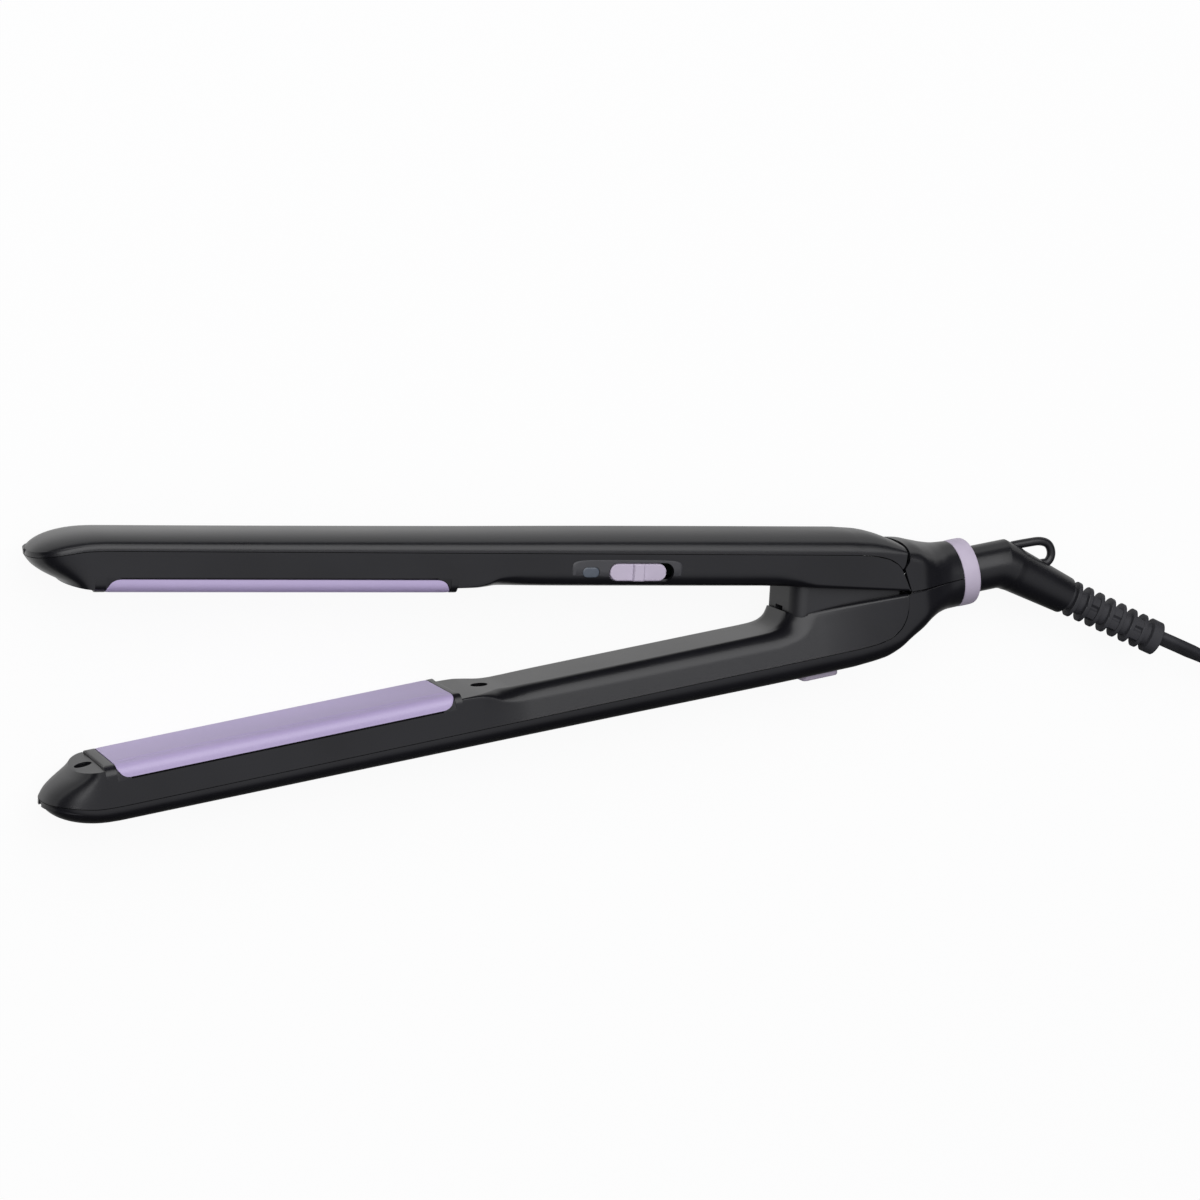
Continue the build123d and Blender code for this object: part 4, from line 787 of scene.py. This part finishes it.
def rear_panel(inner, top_end, top_u, hood, draft):
    """Behind the window, a row for each x: down the side from the parting line, round the long
    edge on a superellipse quarter and over the inner face. The flat part narrows behind the
    land, the edges are fuller along the handle, hood draws the raised rim's corners back, and
    draft leans the sides in towards the inner face."""
    run = spaced((window_rear, -128, 34), (-128, -56, 24), (-56, -24, 44), (-24, top_end, 30))[:, None]
    angle = sweep(15, 1 / 4)[None]
    stations = (-148.6, -143, -139.3, -135.3, -129, -116, -60, -48, -42, -34, 0)
    reach = eased(stations, (0.5, 1.4, 3.2, 5.4, 4.7, 4.2, 4.4, 4.6, 4.2, 2.2, 1.0), run)
    depth = eased(stations, (0.4, 0.6, 1.4, 3.0, 3.8, 4.1, 4.3, 4.3, 3.4, 1.6, 0.8), run)
    power = eased((-148.6, -138, -133, -120, 0), (1.8, 1.6, 1.7, 2.0, 2.0), run)
    share = 2 / power
    edge_w = half_width - reach * (1 - np.cos(angle) ** share)
    edge_d = 1 - np.sin(angle) ** share
    flat_w = (half_width - reach) * np.cos(sweep(33, 1 / 2)[None])
    w = np.concatenate([edge_w, flat_w[:, 1:-1], -edge_w[:, ::-1]], 1)
    down = np.concatenate([edge_d, 0 * flat_w[:, 1:-1], edge_d[:, ::-1]], 1) * depth
    corner = np.clip(np.abs(w) - (half_width - hood), 0, hood)
    back = hood - np.sqrt(np.maximum(hood**2 - corner**2, 0)) if hood else 0 * w
    top = np.interp(run, *top_u) - seam_gap
    u = eased(*inner, run - back * np.clip((run - rim_start) / rim_blend, 0, 1)) + down
    u = np.minimum(u, top)
    wall_share = np.linspace(0, 1, side_count)[None, :-1]
    wall_u = top + (u[:, :1] - top) * wall_share
    u = np.concatenate([wall_u, u, wall_u[:, ::-1]], 1)
    edge = np.full_like(wall_u, half_width)
    w = np.concatenate([edge, w, -edge], 1)
    lean = draft * np.clip((run - draft_start) / 14, 0, 1) * np.clip((draft_end - run) / 30, 0, 1)
    return run, u, half_width + w * (1 - lean * (top - u) / half_width)


def stadium(x, u, length, height):
    """Outline of a slot: two half circles joined by straight sides."""
    angle = sweep(65)
    radius = height / 2
    shift = (length - height) / 2 * np.clip(np.cos(angle) * 8, -1, 1)
    return x + radius * np.cos(angle) + shift, u + radius * np.sin(angle)


def punch(name, *ends):
    """Block with a closed outline at each end, closed over both: a wall, or a cutter."""
    return piece(name, capped(np.array(ends)))


def step_wall(place):
    """Wall at the window's rear end, from the land down to the window's edge."""
    u = np.array([land_level, land_level, window_edge, window_edge, land_level])
    w = half_width + np.array([-12.4, 12.4, 12.4, -12.4, -12.4])
    return punch("step", place(window_rear, u, w), place(window_rear + housing_wall, u, w))


def hole_cutter(place, x):
    """Round cutter for a screw, through an inner face."""
    angle = sweep(49)
    hole_x = x + screw_hole * np.cos(angle)
    hole_w = half_width + screw_hole * np.sin(angle)
    return punch("hole", place(hole_x, -3, hole_w), place(hole_x, 6.5, hole_w))


def pocket_cutter():
    """Opening for the hinge block: two straight sides and a front with rounded corners."""
    angle = sweep(12, 1 / 4)
    corner_x = pocket_front + pocket_corner * (1 - np.cos(angle))
    corner_w = pocket_half - pocket_corner * (1 - np.sin(angle))
    x = np.concatenate([[2.0], corner_x[::-1], corner_x, [2.0, 2.0]])
    w = half_width + np.concatenate([[pocket_half], corner_w[::-1], -corner_w, [-pocket_half, pocket_half]])
    return punch("pocket", lower_place(x, -4, w), lower_place(x, 7.5, w))


def slot_cutter(shape, low):
    """Cutter through the upper arm's near side, from one depth out past the panel."""
    return punch("slot", upper_place(*stadium(*shape), low), upper_place(*stadium(*shape), 30.0))


def joined(name, *parts):
    """One object of several closed shells that meet edge to edge."""
    made = bmesh.new()
    for part in parts:
        made.from_mesh(part.data)
        bpy.data.objects.remove(part)
    mesh = bpy.data.meshes.new(name)
    made.to_mesh(mesh)
    made.free()
    return placed(name, mesh)


upper_shape = (upper_inner, upper_end, upper_top, 0, 0)
lower_shape = (lower_inner, panel_end, lower_top, rim_hood, side_draft)
for side, place, cutter, shape in (
    ("upper", upper_place, slot_cutter(slot_shape, 24.0), upper_shape),
    ("lower", lower_place, pocket_cutter(), lower_shape),
):
    nose_hole, land_hole = [hole_cutter(place, x) for x in screw_places]
    rear = place(*rear_panel(*shape))
    housing = joined(
        side + "_housing_shell",
        piece("nose", place(*nose_panel()), wall=housing_wall, cutters=[nose_hole]),
        *[piece("side", strip, wall=housing_wall) for strip in side_strips(place)],
        step_wall(place),
        piece("rear", rear, wall=housing_wall, cutters=[land_hole, cutter]),
    )
    dress(housing, satin)
    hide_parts(side + "_housing")
    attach(housing, side + "_arm")

# ------------------------------ screws in their wells
# Each arm is closed by two cross-head screws in wells moulded into the housing, one in the nose
# facet and one in the land behind the plate. The screws are blackened steel.
well_depth = 3.2
well_end = 4.8
well_radius = 3.3
well_rim = 0.5
screw_head = 2.2
screw_shank = 1.3


def well_skin(place, x, level):
    """Cup turned about the screw: up its outside, down the wall of the hole, across its floor
    to the shank and out under it."""
    profile = (
        (well_radius, well_end),
        (well_radius, well_rim),
        (screw_hole, well_rim),
        (screw_hole, well_depth),
        (screw_head, well_depth + 0.1),
        (screw_shank, well_depth + 0.1),
        (screw_shank, well_end),
        (well_radius, well_end),
    )
    radius, depth = np.array(profile).T[..., None]
    angle = sweep(49)[None]
    return place(x + radius * np.cos(angle), level + depth + 0 * angle, half_width + radius * np.sin(angle))


blackened = Finish("blackened steel", Metallic=1.0)
blackened.mottled(blackened.noise(500, 3), (0.06, 0.06, 0.065), (0.13, 0.13, 0.14), 0.3, 0.25)
for side, place in arms:
    cups = [piece("well", well_skin(place, x, level)) for x, level in zip(screw_places, (1.6, 2.1))]
    wells = joined(side + "_screw_wells", *cups)
    dress(wells, satin)
    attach(wells, side + "_arm")
    dress(nodes[side + "_screws"], blackened)

# ------------------------------ plates and their trays
# Floating aluminium plates with turned-down skirts, lacquered pearl lilac, in trays of the same
# black polyamide as the covers, whose end strips frame them. Two fine steps run along the near
# edge. Each tray holds a ceramic heater and sensor on red silicone cushions.
plate_front = -250.8
plate_rear = -150.8
plate_face = 0.575
skirt_edge = 4.445
plate_round = 2.9
plate_corner = 3.8          # of the skirt at each end
plan_corner = 1.6
plate_wall = 1.1
plate_steps = (22.3, 24.1)  # places across the plate
step_depth = 0.17
step_width = 0.3
step_fade = 1.5             # over which the steps run out at both ends
end_skirt = 0.55            # least height of the skirt at both ends


def plate_skin(place):
    """Rows along the plate. A row is the skirt, a quarter circle, the face with its two steps,
    and back. At both ends the skirt's edge and the plan's corner follow a quarter circle."""
    end = plate_corner * np.linspace(0, 1, 14) ** 1.6
    middle = np.linspace(plate_front + plate_corner, plate_rear - plate_corner, 46)[1:-1]
    x = np.concatenate([plate_front + end, middle, plate_rear - end[::-1]])[:, None]
    inside = np.clip(np.minimum(x - plate_front, plate_rear - x), 0, plate_corner)
    cut = plate_corner - np.sqrt(plate_corner**2 - (plate_corner - inside) ** 2)
    bottom = np.maximum(skirt_edge - cut, plate_face + end_skirt)
    turn = sweep(12, 1 / 4)[None]
    drop = np.minimum(plate_round, bottom - plate_face)
    edge_w = half_width - plate_round + plate_round * np.cos(turn)
    edge_u = plate_face + drop * (1 - np.sin(turn))
    flat_w = np.linspace(-half_width + plate_round, 8.2, 16)[1:]
    face_w = [flat_w, np.linspace(8.4, 8.8, 5), [9.3, 9.8], np.linspace(9.95, 10.3, 5), [10.7]]
    face_w = np.concatenate(face_w)[None]
    shares = [(face_w - at + half_width) / step_width + 0.5 for at in plate_steps]
    step = sum(step_depth * np.clip(share, 0, 1) for share in shares)
    fade = np.clip(inside / step_fade, 0, 1)
    skirt = np.linspace(1, 0, 5)[None, :-1]
    skirt_u = plate_face + drop + (bottom - plate_face - drop) * skirt
    skirt_w = np.full_like(skirt_u, half_width)
    level_w = np.concatenate([-edge_w, face_w, edge_w[:, ::-1]], 1)
    level_w = np.broadcast_to(level_w, (len(x), level_w.size))
    w = np.concatenate([-skirt_w, level_w, skirt_w[:, ::-1]], 1)
    u = [skirt_u, edge_u, plate_face + step * fade, edge_u[:, ::-1], skirt_u[:, ::-1]]
    u = np.concatenate(u, 1)
    plan = plan_corner * (1 - np.sqrt(1 - (1 - np.clip(inside / plan_corner, 0, 1)) ** 2))
    w = w * (1 - plan / half_width)
    return place(x, u, half_width + w)


pearl = Finish("pearl lilac lacquer", Coat_Weight=0.12, Coat_Roughness=0.15)
flake = pearl.cells(5200)
cloud = pearl.noise(25, 2)
lilac = pearl.mixed(cloud.step(0.3, 0.7), (0.46, 0.38, 0.61), (0.49, 0.405, 0.64))
pearl.feed(Base_Color=pearl.mixed(flake.step(0.35, 0.75) * 0.3, lilac, (0.56, 0.48, 0.71)))
pearl.feed(Roughness=0.38 + 0.08 * cloud)
for side, place in arms:
    plate = piece(side + "_plate_skin", plate_skin(place), wall=plate_wall)
    dress(plate, pearl)
    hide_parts(side + "_plate")
    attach(plate, side + "_plate_group")


rim_round = 0.3
strip_front = -253.7
strip_rear = -148.95
strip_gap = 0.15
strip_lean = 0.38
corner_lap = 0.12           # how far a corner's filling reaches under the plate
corner_level = 1.4
corner_thick = 1.3
tray_half = 12.2
tray_face = 2.0
tray_back = 8.2


def strip_skin(place, start, end, lean):
    """End strip with the plate's own cross-section. Its rims are rounded by a quarter circle
    over the face and crisp at the two long edges, where lean is how far the rim away from the
    plate reaches out."""
    turn = sweep(12, 1 / 4)
    near_w = half_width - plate_round + plate_round * np.cos(turn)
    near_u = plate_face + plate_round * (1 - np.sin(turn))
    flat_w = np.linspace(near_w[-1], -near_w[-1], 12)[1:-1]
    w = np.concatenate([[half_width], near_w, flat_w, -near_w[::-1], [-half_width]])
    u = np.concatenate([[window_edge], near_u, np.full(10, plate_face), near_u[::-1], [window_edge]])
    outer = np.clip((np.abs(w) - 10.5) / 1.5, 0, 1) ** 2
    bend = sweep(5, 1 / 4)[:, None]
    soft = rim_round * (1 - np.sin(bend)) * (1 - outer)
    step = rim_round * (1 - np.cos(bend))
    out_u = u + soft
    out_w = half_width + w * (1 - soft / half_width)
    first = place(start + step + lean * outer * (lean < 0), out_u, out_w)
    last = place(end - step + lean * outer * (lean > 0), out_u, out_w)
    return capped(np.concatenate([first, last[::-1]]))


def corner_skin(place, end, ahead, edge):
    """Filling between a plate's rounded corner and its strip, at one long edge: the outline of
    the corner's arc and its two straight sides, following the plate's own section outward."""
    turn = sweep(14, 1 / 4)
    radius = plate_corner + corner_lap
    arc_x = end + ahead * (plate_corner - radius * np.cos(turn))
    arc_u = skirt_edge - plate_corner + radius * np.sin(turn)
    x = np.concatenate([arc_x, [end + ahead * plate_corner, end - 0.2 * ahead], arc_x[:1]])
    u = np.concatenate([arc_u, [window_edge, window_edge], arc_u[:1]])
    u = np.maximum(u, plate_face + corner_level)
    rise = np.clip((plate_face + plate_round - u) / plate_round, 0, 1)
    out = half_width - plate_round + plate_round * np.sqrt(1 - rise**2)
    return np.array([place(x, u, half_width + edge * w) for w in (out, out - corner_thick)])


def tray_skin(place):
    """Shallow box behind the plate that carries the strips, closed at both ends."""
    w = half_width + tray_half * np.array([-1, 1, 1, -1, -1])
    u = np.array([tray_face, tray_face, tray_back, tray_back, tray_face])
    return capped(np.array([place(x, u, w) for x in (strip_front + 0.2, strip_rear - 0.25)]))


ceramic = Finish("white ceramic")
ceramic.mottled(ceramic.noise(900, 4), (0.70, 0.68, 0.63), (0.78, 0.77, 0.74), 0.55, 0.2)
silicone = Finish("red silicone")
silicone.mottled(silicone.noise(200, 3), (0.35, 0.05, 0.03), (0.42, 0.08, 0.05), 0.6, 0.15)
sleeve = Finish("glass-fibre wire sleeve")
weave = sleeve.cells(1500)
sleeve.mottled(weave, (0.45, 0.42, 0.36), (0.70, 0.67, 0.60), 0.7, 0.2)
sleeve.raised(weave, 0.0001, 0.5)
for side, place in arms:
    strips = [
        strip_skin(place, strip_front, plate_front - strip_gap, -strip_lean),
        strip_skin(place, plate_rear + strip_gap, strip_rear, strip_lean),
    ]
    corners = [
        capped(corner_skin(place, end, ahead, edge))
        for end, ahead in ((plate_front, 1), (plate_rear, -1))
        for edge in (1, -1)
    ]
    tray = piece(side + "_tray", *strips, tray_skin(place), *corners)
    dress(tray, satin)
    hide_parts(side + "_carrier")
    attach(tray, side + "_plate_group")
    dress(nodes[side + "_heater"], ceramic)
    dress(nodes[side + "_sensor"], ceramic)
    dress(nodes[side + "_cushions"], silicone)
    dress(nodes[side + "_wires"], sleeve)

# ------------------------------ lower leads
# The lower arm's two heater leads in their woven sleeves. They run along its inside and are
# drawn together where the neck narrows.
lead_radius = 0.9


def lead_skin(w, inward):
    """Round tube along the lead's route, capped at both ends."""
    run = [(-152.0, -9.8, w), (-142.0, -10.1, w), (-127.0, -11.0, w), (-34.0, -11.0, w),
           (-18.0, -10.8, w), (-8.0, -10.0, w + inward), (1.9, -8.4, w + inward)]
    angle = sweep(17)
    line = spline_line(np.array(run))
    return capped(along(line, lead_radius * np.cos(angle), lead_radius * np.sin(angle)))


leads = [piece("lead", lead_skin(w, inward)) for w, inward in ((5.0, 4.5), (23.0, -4.5))]
leads = joined("lower_leads", *leads)
dress(leads, sleeve)
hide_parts("lower_wires")
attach(leads, "lower_arm")

# ------------------------------ hinge
# A black block under the upper arm dips into the rim of the lower one and turns on a steel pin
# in the lower cover's ears. A coil spring between the arms holds them open.
moulded = Finish("black block moulding")
moulded.mottled(moulded.noise(80, 3, (1, 1, 0.3)), (0.013, 0.013, 0.015), (0.018, 0.018, 0.021), 0.42, 0.12)
moulded.raised(moulded.cells(2600), 0.00003, 0.3)
dress(nodes["hinge_block"], moulded)
polished = Finish("bright spring steel", Metallic=1.0)
polished.mottled(polished.noise(900, 2, (1, 1, 0.1)), (0.50, 0.50, 0.51), (0.62, 0.62, 0.63), 0.2, 0.15)
dress(nodes["hinge_pin"], polished)
dress(nodes["opening_spring"], polished)
spring_turns = 6
spring_radius = 3.4
spring_wire = 0.9
spring_foot = np.array([-18.12, -12.1, 14.0])
spring_head = np.array([-16.55, 6.12, 14.0])


def spring_skin():
    """Helix of round wire between the two seats: each ring lies in the plane of the coil's
    radius and axis."""
    turn = sweep(24 * spring_turns + 1, spring_turns)[:, None, None]
    angle = sweep(17)[None, :, None]
    axis = (spring_head - spring_foot) / np.linalg.norm(spring_head - spring_foot)
    sideways = np.array([axis[1], -axis[0], 0])
    radial = sideways * np.cos(turn) + np.array([0, 0, 1]) * np.sin(turn)
    centre = spring_foot + (spring_head - spring_foot) * turn / (2 * np.pi * spring_turns)
    wire = spring_wire / 2
    return centre + radial * (spring_radius + wire * np.cos(angle)) + axis * wire * np.sin(angle)


spring = piece("coil_spring", capped(spring_skin()), sharp=180)
dress(spring, polished)
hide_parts("opening_spring")
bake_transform(spring)
brass = Finish("brass contacts", Metallic=1.0)
brass.mottled(brass.noise(600, 3), (0.68, 0.46, 0.18), (0.80, 0.60, 0.28), 0.25, 0.2)
dress(nodes["contact_brushes"], brass)
dress(nodes["contact_rings"], brass)

# ------------------------------ switch
# Slide switch in the near side panel of the upper arm: a dark trim plate that folds round the
# panel's lower edge, a lilac slider with a finger rib, a smoky window for the light, and the
# board behind them.
bezel_middle = -96.5
bezel_half = 17.3
bezel_low = 2.9
bezel_high = 10.6
bezel_proud = 0.3
bezel_sunk = 1.2            # times as far as it stands proud
bezel_wrap = 0.9            # how much further it folds round the edge
slider_x = -93.0
slider_half = 8.9
slider_end = 2.6            # radius of its ends, and half its height
slider_foot = 26.3
slider_face = 27.95
slider_edge = 0.5
finger_rib = 0.85
finger_half = 1.9
finger_flank = 0.4
window_x = -108.0
lens_dome = 0.28
lens_proud = 0.05


def side_of_handle(along_u):
    """Handle's near side read outward from the parting line: flat panel, then round the long
    edge on the same superellipse quarter as the housing, as (u, w, outward u, outward w)."""
    reach, depth, level = 6.0, 3.9, 3.3
    flat = along_u > level + depth
    t = np.clip((level + depth - along_u) / (depth + 1.6), 0, 1) * np.pi / 2
    u = np.where(flat, along_u, level + depth * (1 - np.sin(t) ** (2 / 2.1)))
    w = np.where(flat, arm_width, arm_width - reach * (1 - np.cos(t) ** (2 / 2.1)))
    out_u = np.where(flat, 0, -np.sin(t))
    out_w = np.where(flat, 1, np.cos(t))
    return u, w, out_u, out_w


def bezel_skin():
    """Rounded rectangle on the panel's own surface, drawn ring by ring from its middle: level
    over the face, round over the rim and down into the panel."""
    ring = np.array([0, 0.2, 0.4, 0.6, 0.75, 0.86, 0.93, 0.955, 0.975, 0.99, 1.0, 1.0, 0.6, 0])[:, None]
    rim = [1, 1, 1, 1, 1, 1, 1, 0.97, 0.85, 0.6, 0.2, -bezel_sunk, -bezel_sunk, -bezel_sunk]
    proud = np.array(rim)[:, None] * bezel_proud
    angle = sweep(129)[None]
    side, up = rounded(angle, 7)
    x = bezel_middle + bezel_half * ring * side
    reach = (bezel_high - bezel_low + bezel_wrap) / 2
    along_u = (bezel_high + bezel_low - bezel_wrap) / 2 + reach * ring * up
    u, w, out_u, out_w = side_of_handle(along_u)
    return upper_place(x, u + out_u * proud, w + out_w * proud)


def slider_skin():
    """Grid over the slider: its half height at each x is that of a slot outline, its top is
    level with rounded edges, and a rib with soft flanks crosses its middle."""
    x = slider_half * np.cos(sweep(121, 1 / 2)[:, None])
    inside = np.clip((np.abs(x) - slider_half + slider_end) / slider_end, 0, 1)
    reach = slider_end * np.sqrt(1 - inside**2)
    turn = np.sin(np.linspace(-1, 1, 33)[None] * np.pi / 2)
    rim = np.minimum(reach * (1 - np.abs(turn)), slider_half - np.abs(x))
    sunk = slider_edge - np.clip(rim, 0, slider_edge)
    fall = slider_edge - np.sqrt(np.maximum(slider_edge**2 - sunk**2, 0))
    rib = finger_rib * smooth(np.clip((finger_half - np.abs(x)) / finger_flank, 0, 1))
    return slider_x + x, switch_u + reach * turn, slider_face - fall + rib


openings = [slot_cutter(shape, 26.0) for shape in (slot_shape, (window_x, switch_u, 5.4, 3.2))]
bezel = piece("switch_trim", bezel_skin(), cutters=openings)
trim = Finish("dark satin trim")
trim.mottled(trim.noise(60, 2), (0.042, 0.042, 0.047), (0.050, 0.050, 0.056), 0.42, 0.1)
trim.raised(trim.cells(3000), 0.00002, 0.3)
dress(bezel, trim)
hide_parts("switch_bezel")
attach(bezel, "upper_arm")

x, u, w = slider_skin()
slider = piece("switch_button", upper_place(x, u, w), upper_place(x, u, slider_foot + 0 * w))
lilac_trim = Finish("lilac trim moulding")
soft = lilac_trim.noise(120, 3)
shade = lilac_trim.mixed(soft.step(0.3, 0.7), (0.49, 0.43, 0.545), (0.53, 0.465, 0.585))
lilac_trim.feed(Base_Color=shade)
lilac_trim.feed(Roughness=0.42 + 0.1 * soft)
lilac_trim.raised(lilac_trim.cells(3000), 0.00002, 0.3)
dress(slider, lilac_trim)
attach(slider, "switch_knob")
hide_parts("switch_slider")


def lens_skin():
    """Window: rings of a slot outline drawn in to its middle, domed as one less a square."""
    ring = np.array([0, 1, 1, 0.97, 0.9, 0.75, 0.5, 0.25, 0])[:, None]
    dome = np.array([-3, -3, 0, 0.6, 0.85, 0.95, 1, 1, 1])[:, None] * lens_dome
    out_x, out_u = stadium(0, 0, 5.2, 3.0)
    x = window_x + out_x[None] * ring
    return upper_place(x, switch_u + out_u[None] * ring, arm_width + lens_proud + dome)


lens = piece("light_lens", lens_skin())
smoky = Finish("smoky window", Coat_Weight=0.3)
smoky.mottled(smoky.noise(400, 2), (0.05, 0.065, 0.085), (0.085, 0.10, 0.13), 0.3, 0.1)
dress(lens, smoky)
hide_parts("light_window")
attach(lens, "upper_arm")

board = Finish("green circuit board")
tracks = board.noise(700, 2)
board.feed(Base_Color=board.mixed(tracks.step(0.45, 0.55), (0.004, 0.010, 0.006), (0.006, 0.018, 0.009)))
board.feed(Roughness=0.4 + 0.1 * tracks)
dress(nodes["circuit_board"], board)
dress(nodes["status_light"], smoky)
heatproof = Finish("heat-proof black moulding")
speck = heatproof.noise(1200, 3)
heatproof.mottled(speck, (0.014, 0.014, 0.016), (0.022, 0.022, 0.025), 0.5, 0.15)
heatproof.raised(speck, 0.00004, 0.4)
dress(nodes["slide_switch"], heatproof)

# ------------------------------ lock slide
# Small slide on the lower arm's back, moulded in the same lilac as the switch. It locks the
# closed arms with its hook.
dress(nodes["lock_slider"], lilac_trim)

# ------------------------------ trim ring
# Ring of the same lilac moulding, pushed over the end of the two neck halves, which it holds
# together round the swivel.
ring_length = 5.63
ring_radius = 10.27
ring_bore = 7.35
ring_seat = 8.9             # inner radius of the front end
ring_edge = 0.55
ring_crown = 0.12
ring_step = 2.2             # depth of its seat


def ring_skin():
    """Profile turned about the neck's axis: out over the front face, round a small edge, along
    the slightly crowned outside, round the rear edge and in to the bore."""
    turn = sweep(7, 1 / 4)
    run = np.linspace(ring_edge, ring_length - ring_edge, 13)[1:-1]
    face = ring_radius - ring_edge
    crown = ring_crown * (1 - ((run - ring_length / 2) / (ring_length / 2)) ** 2)
    front_x = ring_edge - ring_edge * np.cos(turn)
    rear_x = ring_length - ring_edge + ring_edge * np.sin(turn)
    x = [[0.0, 0.0], front_x, run, rear_x, [ring_length, ring_length, ring_step, 0.0]]
    x = neck_end + np.concatenate(x)[:, None]
    radius = [[ring_seat, face - 0.1], face + ring_edge * np.sin(turn), ring_radius + crown,
              face + ring_edge * np.cos(turn), [face - 0.1, ring_bore, ring_bore, ring_seat]]
    radius = np.concatenate(radius)[:, None]
    angle = sweep(121)[None]
    y = neck_axis + radius * np.cos(angle)
    return np.stack([x + 0 * angle, y, half_width + radius * np.sin(angle)], -1)


ring = piece("trim_ring", ring_skin())
dress(ring, lilac_trim)
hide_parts("neck_ring")
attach(ring, "lower_arm")

# ------------------------------ swivel elbow
# Moulded elbow that turns in the neck, with a loop to hang the iron by. Its outer corner is
# crisp and its inner one flows.
elbow_start = 19.0
bend_x = 34.95
bend_angle = np.radians(34.0)
leg_length = 25.15
elbow_radius = 7.2
elbow_end = 5.85
bend_radius = 12.0
end_edge = 0.12             # bevel at the elbow's end, along it and inwards
end_inset = 0.35


def elbow_skin():
    """Circles square to a line of two legs and an arc. On the outside of the bend the circle
    reaches to the corner where the legs' outer lines meet, one over the cosine of the turn."""
    tangent = bend_radius * np.tan(bend_angle / 2)
    leg = np.linspace(elbow_start, bend_x - tangent, 12)[:-1]
    turn = np.linspace(0, bend_angle, 31)
    rest = np.linspace(tangent, leg_length - 0.5, 16)[1:]
    rest = np.concatenate([rest, [leg_length - end_edge, leg_length]])
    x = [leg, bend_x - tangent + bend_radius * np.sin(turn), bend_x + rest * np.cos(bend_angle)]
    x = np.concatenate(x)
    y = [0 * leg, -bend_radius * (1 - np.cos(turn)), -rest * np.sin(bend_angle)]
    y = np.concatenate(y) + neck_axis
    heading = np.concatenate([0 * leg, turn, 0 * rest + bend_angle])
    nearest = np.minimum(turn, bend_angle - turn)
    reach = (bend_radius + elbow_radius) / np.cos(nearest) - bend_radius - elbow_radius
    extra = np.concatenate([0 * leg, reach, 0 * rest])
    tapered = elbow_radius + (elbow_end - elbow_radius) * np.clip(rest / leg_length, 0, 1)
    tapered = tapered - end_inset * (rest == leg_length)
    radius = np.concatenate([0 * leg + elbow_radius, 0 * turn + elbow_radius, tapered])
    angle = sweep(97)[None]
    out = (radius[:, None] * np.cos(angle)) + extra[:, None] * np.clip(np.cos(angle), 0, 1) ** 1.5
    up = radius[:, None] * np.sin(angle)
    px = x[:, None] + np.sin(heading)[:, None] * out
    py = y[:, None] + np.cos(heading)[:, None] * out
    return np.stack([px, py, half_width + up], -1)


# round bar of the loop, on a spline in the middle plane
loop_radius = 1.35
loop_route = [(36.0, 4.6), (38.4, 6.35), (41.5, 6.35), (45.5, 6.25), (49.3, 6.1), (52.3, 4.6),
              (53.0, 1.2), (51.3, -1.3), (48.6, -0.95), (46.4, -1.6), (44.5, -4.0)]
loop_line = spline_line(np.array([(*point, half_width) for point in loop_route]))
loop_skin = along(loop_line, loop_radius * np.sin(around), loop_radius * np.cos(around))
elbow = piece("swivel_elbow_skin", capped(elbow_skin()), sharp=24)
loop = piece("hanging_loop", capped(loop_skin))
for part in (elbow, loop):
    dress(part, satin)
    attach(part, "swivel")
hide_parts("swivel_elbow")
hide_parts("swivel_elbow")

# ------------------------------ strain relief
# Ribbed rubber sleeve moulded on the flex, with bridges between its ribs that alternate.
relief_start = np.array([56.02, -12.63, 14.0])
relief_fall = np.radians(32.9)
relief_ahead = np.array([np.cos(relief_fall), -np.sin(relief_fall), 0])
relief_side = np.array([np.sin(relief_fall), np.cos(relief_fall), 0])
relief_length = 37.6
relief_flat = 0.64          # its thickness as a share of its width
core_radius = 3.8
collar_length = 4.7
first_rib = 2.5
rib_radius = 5.7
rib_taper = 0.3             # how much smaller the last ribs are
rib_count = 7
rib_pitch = 4.43
rib_width = 1.6
rib_flank = 0.35
bridge_rise = 1.7
bridge_angle = np.radians(28)
bridge_half = 0.13
bridge_flank = 0.03


def relief_skin():
    """Radius along the sleeve: a core with ribs whose flanks are smooth steps, and a collar.
    In every second groove four bridges join the ribs, two on each flat side."""
    run = np.linspace(-0.4, relief_length, 420)
    angle = sweep(145)[None]
    outer = rib_radius - rib_taper * run / relief_length
    number, place = np.divmod(run - first_rib, rib_pitch)
    middle = np.abs(place - rib_width / 2)
    rib = np.clip((rib_width / 2 + 0.12 - middle) / rib_flank, 0, 1)
    rib = rib * (number >= 0) * (number < rib_count)
    collar = np.clip((run - (relief_length - collar_length)) / 0.3, 0, 1)
    collar = collar * np.sqrt(np.clip((relief_length + 0.02 - run) / 0.6, 0, 1))
    lift = np.maximum(smooth(rib), collar)[:, None]
    bridged = (number >= 0) & (number % 2 == 1) & (run < relief_length - collar_length)
    off = np.abs(np.abs(np.sin(angle)) - np.cos(bridge_angle))
    bridge = np.clip((bridge_half - off) / bridge_flank, 0, 1) * bridged[:, None]
    core = core_radius + bridge_rise * smooth(bridge)
    radius = core + (outer[:, None] - core) * lift
    centre = relief_start + relief_ahead * run[:, None]
    side = relief_side * (radius * np.cos(angle))[..., None]
    rise = np.array([0, 0, relief_flat]) * (radius * np.sin(angle))[..., None]
    return centre[:, None] + side + rise


relief = piece("ribbed_relief", capped(relief_skin()))
dress(relief, rubber)
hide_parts("strain_relief")
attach(relief, "swivel")
